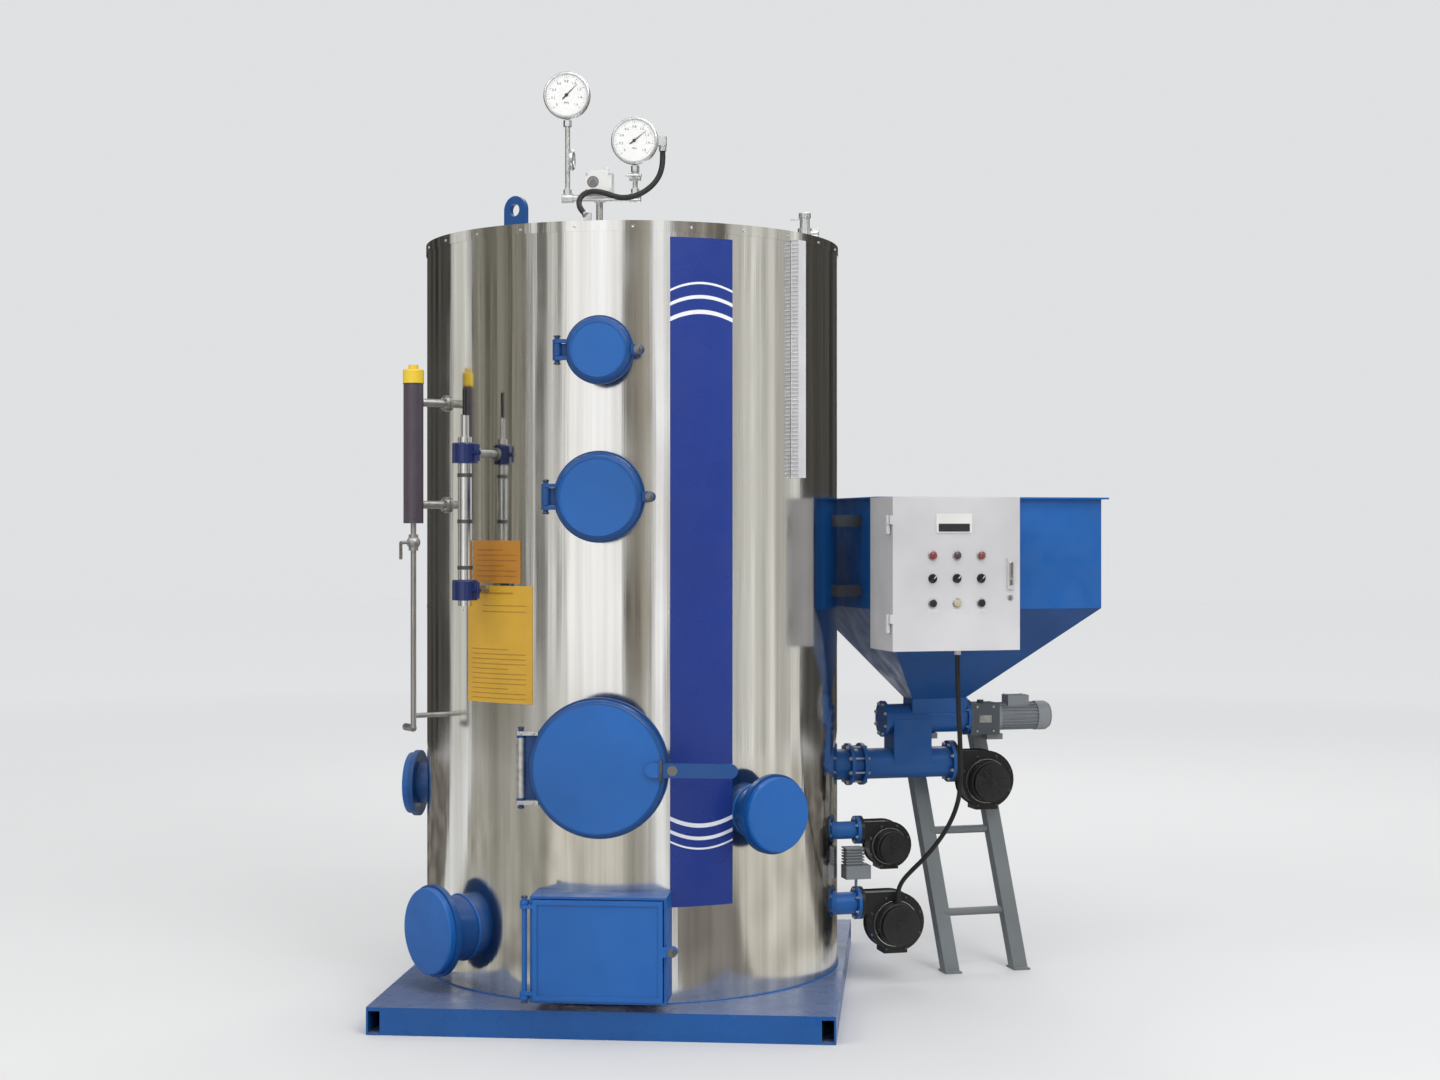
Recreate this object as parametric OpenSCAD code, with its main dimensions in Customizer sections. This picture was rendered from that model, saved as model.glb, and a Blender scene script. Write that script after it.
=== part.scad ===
// Vertical pellet-fired steam boiler: a round jacketed body on a channel base, with hinged
// doors on the front, gauges on top and a pellet feeder with its blowers on the right.
// The origin is on the body's axis at floor level, the doors face -Y and +Z is up.

/* [Jacket] */
// Outer radius of the steel jacket
jacket_r = 700; // [640:5:760]
// Height of the jacket above the deck
jacket_h = 2430; // [2400:10:2600]
// Height of the lower course of jacket sheets
course_h = 1215; // [1100:5:1300]
// Thickness of the jacket sheet
jacket_t = 2; // [1:0.5:4]
// Width of the front jacket sheets beside the ash box
sheet_margin = 18; // [10:1:40]
// Thickness of the top cover
cover_t = 3; // [2:0.5:5]
// Depth of the lip turned down round the top cover
cover_lip = 30; // [15:1:60]

/* [Base] */
// Margin of the base beyond the jacket at the sides
base_side = 25; // [20:5:150]
// Margin of the base beyond the jacket at the front and back
base_end = 100; // [60:5:200]
// Height of the base channels
channel_h = 80; // [60:5:120]
// Flange width of the base channels
channel_flange = 43; // [35:1:60]
// Web and flange thickness of the base channels
channel_t = 6; // [4:0.5:10]
// Thickness of the deck plate
deck_t = 6; // [4:1:10]
// Distance of the anchor holes from the ends of the side rails
anchor_inset = 120; // [80:5:200]
// Radius of the anchor holes
anchor_r = 9; // [6:0.5:12]

/* [Furnace] */
// Inner radius of the furnace drum
furnace_r = 420; // [400:5:440]
// Wall thickness of the furnace drum
furnace_t = 12; // [8:1:16]
// Half angle of the drum's front sheets, which hold the door openings
drum_front_half = 30; // [28.5:0.5:32]
// Distance of the crown plate's top below the jacket's top
crown_drop = 176; // [120:2:240]
// Height of the tube plate above the deck
tube_plate_z = 1250; // [1230:5:1280]
// Thickness of the tube plate and the crown plate
plate_t = 14; // [10:1:20]
// Radius of the holes in the tube plate
tube_r = 38; // [25:1:42]
// Distance between the holes' circles in the tube plate
tube_pitch = 125; // [110:5:140]
// Height of the grate's bottom above the deck
grate_z = 460; // [440:5:470]
// Thickness of the grate
grate_t = 30; // [20:1:40]
// Width of the ring that carries the grate
grate_ledge = 25; // [15:1:35]
// Thickness of the ring that carries the grate
ledge_t = 25; // [12:1:30]
// Width of the slots through the grate
grate_slot = 22; // [15:1:30]
// Number of slots through the grate
grate_slots = 11; // [7:2:15]

/* [Round doors] */
// Radius of the upper door
upper_door_r = 100; // [90:1:110]
// Distance of the upper door's centre below the jacket's top
upper_door_drop = 406; // [370:2:450]
// Radius of the middle door
middle_door_r = 135; // [120:1:150]
// Height of the middle door in the flue chamber, as a share of the chamber
middle_door_share = 0.3175; // [0.26:0.0025:0.35]
// Radius of the fire door
fire_door_r = 210; // [195:1:215]
// Height of the fire door's centre above the grate
fire_door_rise = 254; // [230:2:280]
// Distance of the small doors' seats from the jacket
small_seat = 90; // [75:1:110]
// Distance of the fire door's seat from the jacket
fire_seat = 100; // [85:1:120]
// Depth of the small doors
small_door_depth = 28; // [24:1:36]
// Depth of the fire door
fire_door_depth = 38; // [30:1:46]
// Radius of the doors' rounded shoulder
door_edge = 18; // [12:1:22]
// Plate thickness of the round doors
door_plate = 8; // [5:1:11]
// How much smaller the neck under a round door is than the door
neck_step = 28; // [24:1:36]
// Wall thickness of the necks
neck_t = 8; // [5:1:12]
// Thickness of the flange that each door seats on
seat_flange_t = 14; // [10:1:20]
// How far the seat flange stands out beyond its door
seat_lip = 6; // [3:1:10]

/* [Ash door] */
// Width of the ash door
ash_w = 400; // [380:5:410]
// Height of the ash door
ash_h = 306; // [280:2:320]
// Height of the ash door's centre above the deck
ash_rise = 190; // [186:1:200]
// Distance of the ash door's seat from the jacket
ash_seat = 115; // [100:1:130]
// Thickness of the ash door's plate
ash_plate = 10; // [6:1:14]
// Width of the raised rim round the ash door
ash_rim_w = 14; // [8:1:24]
// Height of the raised rim round the ash door
ash_rim_t = 4; // [2:0.5:8]
// How far the ash box stands out beyond its door
ash_lip = 10; // [6:1:16]

/* [Hinges and latches] */
// Radius of the hinge pins
pin_r = 8; // [6:0.5:10]
// Running clearance of the hinge pins, all round
pin_gap = 0.1; // [0.05:0.05:0.2]
// Wall round the hinge pins
knuckle_t = 6; // [5:0.5:9]
// Distance of the hinge pins from the edge of their doors
hinge_off = 30; // [26:1:40]
// Thickness of the hinge ears
ear_t = 12; // [8:1:16]
// Distance from the middle of the upper door to its hinge ears
upper_spread = 26; // [22:1:32]
// Distance from the middle of the middle door to its hinge ears
middle_spread = 34; // [26:1:50]
// Distance from the middle of the fire door to its hinge ears
fire_spread = 106; // [80:1:120]
// Thickness of the latch lugs
lug_t = 12; // [8:1:16]
// How far the latch lugs stand out beyond their doors
lug_out = 38; // [34:1:46]
// Distance of the latch bolts from the edge of their doors
latch_off = 22; // [20:1:24]
// Radius of the latch bolts
latch_bolt_r = 7; // [5:0.5:9]
// Length of the latch bolts
latch_bolt_l = 52; // [44:1:64]
// Height of the latch nuts
latch_nut_h = 12; // [8:1:16]
// Length of the fire door's handle beyond the door
handle_l = 220; // [150:5:280]
// Width of the fire door's handle
handle_w = 44; // [30:1:60]
// Thickness of the fire door's handle
handle_t = 12; // [8:1:16]

/* [Hand holes] */
// Angle of the left hand hole from the front, towards +X
left_hole_a = -45; // [-48:1:-43]
// Height of the left hand hole above the deck
left_hole_rise = 194; // [184:1:214]
// Radius of the left hand hole's cover
left_hole_r = 138; // [125:1:145]
// Angle of the right hand hole from the front, towards +X
right_hole_a = 41; // [39:1:46]
// Height of the right hand hole above the grate
right_hole_rise = 94; // [64:1:124]
// Radius of the right hand hole's cover
right_hole_r = 117; // [105:1:125]
// Angle of the side hand hole from the front, towards +X
side_hole_a = -92; // [-100:1:-85]
// Height of the side hand hole above the grate
side_hole_rise = 104; // [64:1:144]
// Radius of the side hand hole's cover
side_hole_r = 105; // [95:1:115]
// Distance of the front hand holes' seats from the jacket
hole_seat = 105; // [95:1:120]
// Distance of the side hand hole's seat from the jacket
side_seat = 65; // [50:1:80]
// Thickness of the hand holes' covers
hole_cover_t = 22; // [16:1:28]
// Thickness of the ring that the hand holes' covers seat on
hole_ring_t = 18; // [12:1:24]
// How much wider the hand holes' collars are than their covers
collar_step = 8; // [2:1:14]
// How much smaller the hand holes' necks are than their covers
hole_neck_step = 35; // [28:1:42]

/* [Level gauges] */
// Angle of the level column from the front, towards +X
column_a = -52; // [-58:1:-50]
// Distance of the level column from the jacket
column_off = 120; // [100:5:140]
// Radius of the level column
column_r = 32; // [25:1:36]
// Height of the level column's bottom above the deck
column_z = 1494; // [1454:5:1534]
// Length of the level column
column_l = 450; // [420:5:480]
// Height of the level column's cap
cap_h = 46; // [30:1:60]
// Height of the drain's outlet above the deck
drain_z = 834; // [780:5:900]
// Radius of the drain pipe
drain_r = 9; // [6:0.5:12]
// Angle of the level gauge from the front, towards +X
gauge_a = -34; // [-38:1:-32]
// Distance of the level gauge from the jacket
gauge_off = 95; // [80:5:110]
// Radius of the level gauge's tube
gauge_r = 22; // [16:1:26]
// Height of the level gauge's bottom above the deck
gauge_z = 1234; // [1214:5:1274]
// Length of the level gauge
gauge_l = 530; // [500:5:560]
// Radius of the level gauge's valve bodies
collar_r = 40; // [32:1:46]
// Height of the level gauge's valve bodies
collar_h = 64; // [40:1:80]
// Distance of the valve bodies' centres from the ends of the level gauge
collar_off = 50; // [45:1:70]
// Radius of the arms that carry the level gauges
arm_r = 13; // [9:0.5:16]

/* [Top fittings] */
// Radius of the flue outlet
flue_r = 100; // [80:1:120]
// Height of the flue outlet above the top cover
flue_h = 70; // [50:1:90]
// Width of the flue outlet's flange
flue_flange_w = 50; // [40:1:60]
// Distance of the flue flange's bolt circle from the outlet's wall
flue_bolt_off = 28; // [24:1:32]
// Radius of the steam outlet pipe
steam_r = 33; // [25:1:40]
// Distance of the steam outlet behind the axis
steam_y = 330; // [300:5:360]
// Height of the steam outlet above the top cover
steam_h = 80; // [60:1:90]
// Width of the steam outlet's flange
steam_flange_w = 42; // [36:1:50]
// Thickness of the steam outlet's flange
steam_flange_t = 16; // [12:1:22]
// Distance of the steam flange's bolt circle from the pipe
steam_bolt_off = 25; // [20:1:28]
// Radius of the bolt holes in the top flanges
bolt_hole_r = 7; // [5:0.5:9]
// Distance of the safety valve inwards from the jacket
safety_inset = 110; // [80:5:140]
// Height of the safety valve above the top cover
safety_h = 120; // [100:1:150]
// Radius of the safety valve's body
safety_r = 24; // [18:1:30]
// Distance of the lifting lugs inwards from the jacket
lug_inset = 100; // [80:5:120]
// Angle of the lifting lugs from the front, towards +X
lug_a = -31; // [-36:1:-26]
// Height of the lifting lugs above the top cover
lug_h = 108; // [90:1:130]
// Width of the lifting lugs
lug_w = 90; // [80:1:110]
// Thickness of the lifting lugs
lug_plate = 16; // [10:1:20]
// Radius of the lifting eyes
eye_r = 20; // [14:1:26]

/* [Pressure gauges] */
// Distance of the gauge manifold inwards from the jacket
manifold_inset = 255; // [220:5:280]
// Height of the gauge manifold above the top cover
manifold_h = 110; // [90:1:130]
// Distance of the manifold's riser left of the middle
riser_off = 50; // [30:1:60]
// Radius of the manifold pipes
pipe_r = 11; // [8:0.5:14]
// Radius of the gauges' stems
stem_r = 8; // [5:0.5:8]
// Radius of the pressure gauges
dial_r = 76; // [65:1:85]
// Depth of the pressure gauges
dial_depth = 48; // [40:1:60]
// Distance of the left gauge left of the middle
left_gauge_off = 154; // [140:2:180]
// Height of the left gauge above the manifold
left_gauge_rise = 330; // [300:5:360]
// Distance of the right gauge right of the middle
right_gauge_off = 66; // [60:2:90]
// Height of the right gauge above the manifold
right_gauge_rise = 180; // [170:5:200]
// Radius of the siphon loops under the gauges
siphon_r = 26; // [20:1:32]
// Width of the pressure controller
controller_w = 86; // [70:1:100]
// Height of the pressure controller
controller_h = 64; // [50:1:80]
// Depth of the pressure controller
controller_d = 60; // [45:1:70]

/* [Feeder] */
// Angle of the feeder behind the +X axis
feeder_a = 20; // [18:1:22]
// Height of the feed tube above the floor
feed_z = 733; // [720:1:745]
// Radius of the feed tube
feed_r = 54; // [45:1:60]
// Wall thickness of the feed tube, chute and trough
tube_wall = 5; // [3:0.5:7]
// Thickness of the feeder's flanges
pipe_flange_t = 12; // [8:1:16]
// How far the feed tube's flanges stand out from it
pipe_flange_w = 20; // [12:1:26]
// Distance of the first pair of flanges from the jacket
first_flange = 70; // [55:1:80]
// Distance between the two flanges near the jacket
flange_pitch = 48; // [36:1:60]
// Length of the feed tube beyond the jacket
feed_l = 460; // [440:5:480]
// Height of the screw trough's axis above the feed tube's axis
chute_h = 157; // [147:1:170]
// Radius of the screw trough
trough_r = 52; // [45:1:56]
// How far the trough's flanges stand out from it
trough_flange_w = 12; // [8:1:16]
// Distance of the trough's inner end from the jacket
trough_off = 200; // [180:5:220]
// Length of the screw trough
trough_l = 320; // [300:5:340]
// Width of the chute between the trough and the feed tube
chute_w = 140; // [120:5:150]
// Distance of the chute from the trough's inner end
chute_off = 30; // [20:1:40]
// Radius of the feed screw's flight
screw_r = 41; // [34:1:43]
// Radius of the feed screw's shaft
shaft_r = 14; // [10:1:18]
// Pitch of the feed screw
screw_pitch = 80; // [60:5:100]
// Thickness of the feed screw's flight
flight_t = 5; // [3:0.5:8]

/* [Gear motor] */
// Length of the gearbox
gearbox_l = 110; // [90:5:130]
// Width of the gearbox
gearbox_w = 100; // [80:5:120]
// Height of the gearbox above the shaft
gearbox_up = 50; // [45:1:60]
// Depth of the gearbox below the shaft
gearbox_down = 60; // [55:1:70]
// Radius of the motor, with its fins
motor_r = 50; // [42:1:56]
// Length of the motor
motor_l = 200; // [170:5:240]
// Height of the motor's fins
fin_h = 6; // [3:0.5:10]
// Number of the motor's fins
fin_count = 24; // [12:1:32]

/* [Hopper] */
// Distance of the hopper's near wall from the jacket
hopper_off = 60; // [50:5:90]
// Width of the hopper away from the boiler
hopper_w = 800; // [760:10:900]
// Depth of the hopper from front to back
hopper_d = 800; // [760:10:860]
// Height of the hopper's rim above the floor
hopper_top = 1670; // [1640:5:1700]
// Height of the hopper's straight walls
hopper_wall_h = 380; // [340:5:420]
// Thickness of the hopper's sheet
hopper_t = 4; // [3:0.5:6]
// Width of the lip round the hopper's rim
rim_w = 20; // [12:1:30]
// Thickness of the lip round the hopper's rim
rim_t = 6; // [4:0.5:10]
// Length of the hopper's outlet
outlet_w = 200; // [180:5:210]
// Width of the hopper's outlet
outlet_d = 96; // [80:2:100]
// Height of the hopper's outlet neck above the trough
outlet_h = 20; // [12:1:40]
// Distance of the hopper's outlet from the trough's inner end
outlet_off = 100; // [95:1:106]
// Distance of the hopper's arms from its middle
arm_off = 180; // [140:5:220]
// Width of the hopper's arms and of the rails behind the control cabinet
arm_w = 40; // [30:1:60]

/* [Trestle] */
// Width of the trestle's rails
rail_w = 60; // [45:1:70]
// Thickness of the trestle's rails
rail_t = 30; // [20:1:36]
// Wall thickness of the trestle's rails
rail_wall = 3; // [2:0.5:5]
// Distance between the trestle's rails
rails_apart = 258; // [250:2:266]
// Radius of the trestle's rungs
rung_r = 14; // [10:1:18]
// Height of the trestle's lower rung above the floor
rung_z = 200; // [150:5:260]
// Distance between the trestle's rungs
rung_pitch = 280; // [220:5:320]

/* [Control cabinet] */
// Distance of the control cabinet's near side from the jacket
cabinet_off = 12; // [5:1:30]
// Width of the control cabinet
cabinet_w = 440; // [400:5:480]
// Height of the control cabinet
cabinet_h = 500; // [460:5:540]
// Depth of the control cabinet
cabinet_d = 200; // [160:5:240]
// Height of the control cabinet's bottom above the floor
cabinet_z = 1166; // [1130:2:1190]
// Thickness of the control cabinet's walls
cabinet_t = 3; // [2:0.5:4]
// Thickness of the control cabinet's door
cabinet_door_t = 22; // [16:1:30]
// Radius of the control cabinet's hinge barrels
barrel_r = 8; // [7:0.5:10]
// Radius of the control cabinet's hinge pins
cabinet_pin_r = 4; // [3:0.5:5]
// Length of each of the control cabinet's hinges
cabinet_hinge_l = 60; // [45:1:80]

/* [Blowers] */
// Distance of the air blowers in front of the feeder's axis
blower_v = 200; // [190:2:215]
// Height of the lower air stub above the floor
lower_stub_z = 280; // [270:1:300]
// Height of the upper air stub above the floor
upper_stub_z = 530; // [520:1:560]
// Radius of the lower air stub
lower_stub_r = 38; // [30:1:42]
// Radius of the upper air stub
upper_stub_r = 30; // [24:1:34]
// Length of the air stubs beyond the jacket, on the feeder's axis
stub_l = 45; // [35:1:60]
// How far the air stubs' flanges stand out from them
stub_flange_w = 18; // [12:1:22]
// Radius of the feed blower's volute
feed_blower_r = 104; // [95:1:110]
// Radius of the upper blower's volute
upper_blower_r = 80; // [72:1:85]
// Radius of the lower blower's volute
lower_blower_r = 104; // [95:1:110]
// Width of the blowers' volutes
volute_w = 80; // [60:1:90]
// Width of the flange round the volutes' side plates
volute_rim = 5; // [3:0.5:8]
// Share of a volute's radius that its motor takes
motor_share = 0.7; // [0.6:0.01:0.75]
// Length of the blowers' motors
blower_motor_l = 55; // [40:1:70]

/* [Hidden] */

$fn = 96;
// Gap between a piece and its seat
seat_gap = 0.3;
// Overlap of solids that are fused, and overrun of cuts
over = 1;

blue = "#1f66b0";
deep_blue = "#1b4f94";
steel = "#c9cac8";
black = "#1b1b1d";
grey = "#9a9c9d";
pale = "#e4e3e0";

deck_z = channel_h + deck_t;
jacket_top = deck_z + jacket_h;
cover_top = jacket_top + cover_t;
cover_r = jacket_r + seat_gap + cover_t;
seam_z = deck_z + course_h;
base_w = 2 * (jacket_r + base_side);
base_d = 2 * (jacket_r + base_end);
drum_r = furnace_r + furnace_t;
tube_plate_bottom = deck_z + tube_plate_z;
tube_plate_top = tube_plate_bottom + plate_t;
crown_z = jacket_top - crown_drop - plate_t;
grate_bottom = deck_z + grate_z;
grate_top = grate_bottom + grate_t;
knuckle_r = pin_r + knuckle_t;
// Reach of the cuts beyond the jacket
cut_reach = jacket_r + 50;

// Round doors: height, radius, seat and depth
upper_spec = [jacket_top - upper_door_drop, upper_door_r, jacket_r + small_seat, small_door_depth];
middle_door_z = tube_plate_top + middle_door_share * (crown_z - tube_plate_top);
middle_spec = [middle_door_z, middle_door_r, jacket_r + small_seat, small_door_depth];
fire_spec = [grate_top + fire_door_rise, fire_door_r, jacket_r + fire_seat, fire_door_depth];
door_specs = [upper_spec, middle_spec, fire_spec];

// Hand holes: angle, height, cover radius and seat
left_spec = [left_hole_a, deck_z + left_hole_rise, left_hole_r, jacket_r + hole_seat];
right_spec = [right_hole_a, grate_top + right_hole_rise, right_hole_r, jacket_r + hole_seat];
side_spec = [side_hole_a, grate_top + side_hole_rise, side_hole_r, jacket_r + side_seat];
hole_specs = [left_spec, right_spec, side_spec];

function neck_r(door_r) = door_r - neck_step;
function hole_neck_r(cover_r) = cover_r - hole_neck_step;

// Turns what faces the front to the angle a, towards +X
module turned(a) rotate([0, 0, a]) children();

// Stands what points up at height z so that it points away from the axis at the front, from r0 on
module facing(z, r0) translate([0, -r0, z]) rotate([90, 0, 0]) children();

// Cylinder that points away from the axis at the front, from r0 to r1, at height z
module radial(z, r0, r1, r) facing(z, r0) cylinder(r = r, h = r1 - r0);

module ring(r_out, r_in, h) difference() {
    cylinder(r = r_out, h = h);
    translate([0, 0, -over]) cylinder(r = r_in, h = h + 2 * over);
}

// Disc whose upper edge is rounded
module rounded_disc(r, h, edge) rotate_extrude() {
    square([r - edge, h]);
    square([r, h - edge]);
    translate([r - edge, h - edge]) intersection() {
        circle(r = edge, $fn = 48);
        square(edge + over);
    }
}

// Box given by its lowest corner and its highest corner
module span(low, high) translate(low) cube(high - low);

// Straight bar of section w by t between two points
module bar(p, q, w, t) {
    d = q - p;
    length = norm(d);
    translate(p) rotate([0, acos(d[2] / length), atan2(d[1], d[0])])
        translate([-t / 2, -w / 2, 0]) cube([t, w, length]);
}

// Round rod between two points
module rod(p, q, r) {
    d = q - p;
    length = norm(d);
    translate(p) rotate([0, acos(d[2] / length), atan2(d[1], d[0])]) cylinder(r = r, h = length, $fn = 32);
}

// Upright cylinder between two heights
module post(x, y, z0, z1, r) translate([x, y, z0]) cylinder(r = r, h = z1 - z0);

// Part of a ring between two angles from the front
module sector(r_out, r_in, z0, z1, a0, a1)
    translate([0, 0, z0]) rotate([0, 0, a0 - 90]) rotate_extrude(angle = a1 - a0)
        translate([r_in, 0]) square([r_out - r_in, z1 - z0]);

/* Base */

module channel(length) {
    // Web on the outer side, flanges pointing to +X
    linear_extrude(length) polygon([
        [0, 0], [channel_flange, 0], [channel_flange, channel_t], [channel_t, channel_t],
        [channel_t, channel_h - channel_t], [channel_flange, channel_h - channel_t],
        [channel_flange, channel_h], [0, channel_h]]);
}

anchor_x = base_w / 2 - (channel_flange + channel_t) / 2;
anchor_y = base_d / 2 - anchor_inset;

module base_side_rails() color(blue) for (side = [0, 1]) mirror([side, 0, 0]) difference() {
    translate([-base_w / 2, base_d / 2, 0]) rotate([90, 0, 0]) channel(base_d);
    for (end = [-1, 1]) post(-anchor_x, end * anchor_y, -over, channel_t + over, anchor_r);
}

module base_cross_rails() color(blue) {
    rail_l = base_w - 2 * channel_flange;
    for (end = [0, 1]) mirror([0, end, 0])
        translate([-rail_l / 2, -base_d / 2, 0]) rotate([90, 0, 90]) channel(rail_l);
    for (y = [-base_d / 4, 0, base_d / 4])
        translate([-rail_l / 2, y - channel_flange / 2, 0]) rotate([90, 0, 90]) channel(rail_l);
}

module base_deck() color(blue) span([-base_w / 2, -base_d / 2, channel_h], [base_w / 2, base_d / 2, deck_z]);

/* Jacket */

front_half = asin((ash_w / 2 + ash_lip + sheet_margin) / jacket_r);

// Everything that passes through the jacket, a little larger than it is
module jacket_openings() {
    for (spec = door_specs) radial(spec[0], drum_r, cut_reach, neck_r(spec[1]) + seat_gap);
    ash_opening(ash_lip + seat_gap, cut_reach, drum_r);
    for (spec = hole_specs)
        turned(spec[0]) radial(spec[1], drum_r, cut_reach, hole_neck_r(spec[2]) + seat_gap);
    turned(90 + feeder_a) radial(feed_z, drum_r, cut_reach, feed_r + seat_gap);
    turned(column_a) for (z = column_arms) radial(z, drum_r, cut_reach, arm_r + seat_gap);
    turned(gauge_a) for (z = gauge_arms) radial(z, drum_r, cut_reach, arm_r + seat_gap);
    feeder() for (spec = stub_specs) translate([0, spec[0], 0])
        along(drum_r, cut_reach, spec[1], spec[2] + seat_gap);
}

module jacket_sheet(z0, z1, a0, a1) color(steel) difference() {
    sector(jacket_r, jacket_r - jacket_t, z0, z1, a0, a1);
    jacket_openings();
}

module jacket_front_lower() jacket_sheet(deck_z, seam_z, -front_half, front_half);
module jacket_front_upper() jacket_sheet(seam_z, jacket_top, -front_half, front_half);
module jacket_left() jacket_sheet(deck_z, jacket_top, -180, -front_half);
module jacket_right() jacket_sheet(deck_z, jacket_top, front_half, 180);

module top_cover() color(steel) difference() {
    post(0, 0, jacket_top - cover_lip, cover_top, cover_r);
    post(0, 0, jacket_top - cover_lip - over, jacket_top, cover_r - cover_t);
    post(0, 0, jacket_top - over, cover_top + over, flue_r + seat_gap);
}

/* Furnace */

// How much narrower the drum's ash opening is than the ash door, at each side
ash_drum_step = 28;

module drum_sheet(z0, z1, a0, a1) color(grey) difference() {
    sector(drum_r, furnace_r, z0, z1, a0, a1);
    for (spec = door_specs) radial(spec[0], furnace_r / 2, drum_r + over, neck_r(spec[1]) - neck_t);
    if (z0 < ash_z && z1 > ash_z) ash_opening(-ash_drum_step, drum_r + over, furnace_r / 2);
    for (spec = hole_specs)
        turned(spec[0]) radial(spec[1], furnace_r / 2, drum_r + over, hole_neck_r(spec[2]) - neck_t);
    turned(90 + feeder_a) radial(feed_z, furnace_r / 2, drum_r + over, feed_r - tube_wall);
}

// The front sheet is split over, beside and under the ash doorway
module furnace_front() drum_sheet(ash_doorway[1], tube_plate_bottom, -drum_front_half, drum_front_half);
module furnace_jambs() drum_sheet(ash_doorway[0], ash_doorway[1], -drum_front_half, drum_front_half);
module furnace_sill() drum_sheet(deck_z, ash_doorway[0], -drum_front_half, drum_front_half);
module furnace_left() drum_sheet(deck_z, tube_plate_bottom, -180, -drum_front_half);
module furnace_right() drum_sheet(deck_z, tube_plate_bottom, drum_front_half, 180);
module flue_front() drum_sheet(tube_plate_top, crown_z, -drum_front_half, drum_front_half);
module flue_back() drum_sheet(tube_plate_top, crown_z, drum_front_half, 360 - drum_front_half);

// Tube plate over the fire, with its holes on two circles round a middle one, and the crown
module furnace_plates() color(grey) {
    translate([0, 0, tube_plate_bottom]) difference() {
        cylinder(r = drum_r, h = plate_t);
        for (circle_n = [0, 1, 2]) for (i = [1 : max(1, 6 * circle_n)])
            rotate([0, 0, i * 60 / max(1, circle_n)])
                translate([0, -circle_n * tube_pitch, -over]) cylinder(r = tube_r, h = plate_t + 2 * over);
    }
    translate([0, 0, crown_z]) ring(drum_r, flue_r - neck_t, plate_t);
}

// Ring in the drum that the grate lies on
module grate_ring() color(grey) translate([0, 0, grate_bottom - seat_gap - ledge_t])
    ring(furnace_r - seat_gap, furnace_r - grate_ledge, ledge_t);

module fire_grate() color("#5a4a42") translate([0, 0, grate_bottom]) difference() {
    slot_r = furnace_r - 2 * grate_ledge;
    pitch = 2 * (furnace_r - grate_ledge) / (grate_slots + 1);
    cylinder(r = furnace_r - 2, h = grate_t);
    for (i = [1 : grate_slots]) {
        x = -furnace_r + grate_ledge + i * pitch;
        half = sqrt(pow(slot_r, 2) - x * x);
        translate([x - grate_slot / 2, -half, -over]) cube([grate_slot, 2 * half, grate_t + 2 * over]);
    }
}

/* Round doors */

// How far the hinge ears stay in front of the seat, and the latch lugs too
ear_step = 4;
lug_step = 2;
// Rounded end of the latch lugs
lug_r = lug_out - latch_off;
// Play of the latch bolts in their lugs
bolt_play = 1;
// Nuts across their corners, as a share of their bolts
nut_k = 1.7;
// How far the latch bolts start behind the seat, and the pins stick out of their ears
bolt_back = 10;
pin_out = 8;
// Gap between the lining and the furnace side of the fire door
lining_step = 2;

// Round-ended lug for a latch bolt at height z, from r0 to r1 away from the axis
module latch_lug(x0, x1, z, r0, r1, r) {
    span([x0, -r1, z - r], [x1, -r0, z + r]);
    translate([x1, 0, 0]) radial(z, r0, r1, r);
}

// Latch bolt with its washer and nut, which clamps the lug of a door
module latch_bolt(x, z, seat) translate([x, 0, 0]) {
    lug_face = seat + seat_gap + lug_step + lug_t;
    radial(z, seat - bolt_back, seat - bolt_back + latch_bolt_l, latch_bolt_r);
    radial(z, lug_face - over, lug_face + 2, lug_r - 2);
    facing(z, lug_face) cylinder(r = latch_bolt_r * nut_k, h = latch_nut_h, $fn = 6);
}

// Neck from the furnace drum out to the flange that the door seats on
module round_neck(spec, spread) {
    z = spec[0];
    r = spec[1];
    seat = spec[2];
    pin_x = -r - hinge_off;
    half_l = spread - ear_t / 2 - over;
    web = sqrt(pow(r, 2) - pow(half_l, 2));
    color(blue) difference() {
        union() {
            radial(z, furnace_r, seat, neck_r(r));
            radial(z, seat - seat_flange_t, seat, r + seat_lip);
            // Hinge barrel and its web
            post(pin_x, -seat, z - half_l, z + half_l, knuckle_r);
            span([pin_x, -seat + over, z - half_l], [-web, -seat + seat_flange_t - over, z + half_l]);
            latch_lug(r - seat_lip, r + latch_off, z, seat - seat_flange_t, seat, lug_r);
        }
        radial(z, 0, seat + over, neck_r(r) - neck_t);
        post(0, 0, z - r, z + r, drum_r + seat_gap);
        post(pin_x, -seat, z - r, z + r, pin_r + pin_gap);
        translate([r + latch_off, 0, 0])
            radial(z, seat - seat_flange_t - over, seat + over, latch_bolt_r + bolt_play);
    }
}

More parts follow.
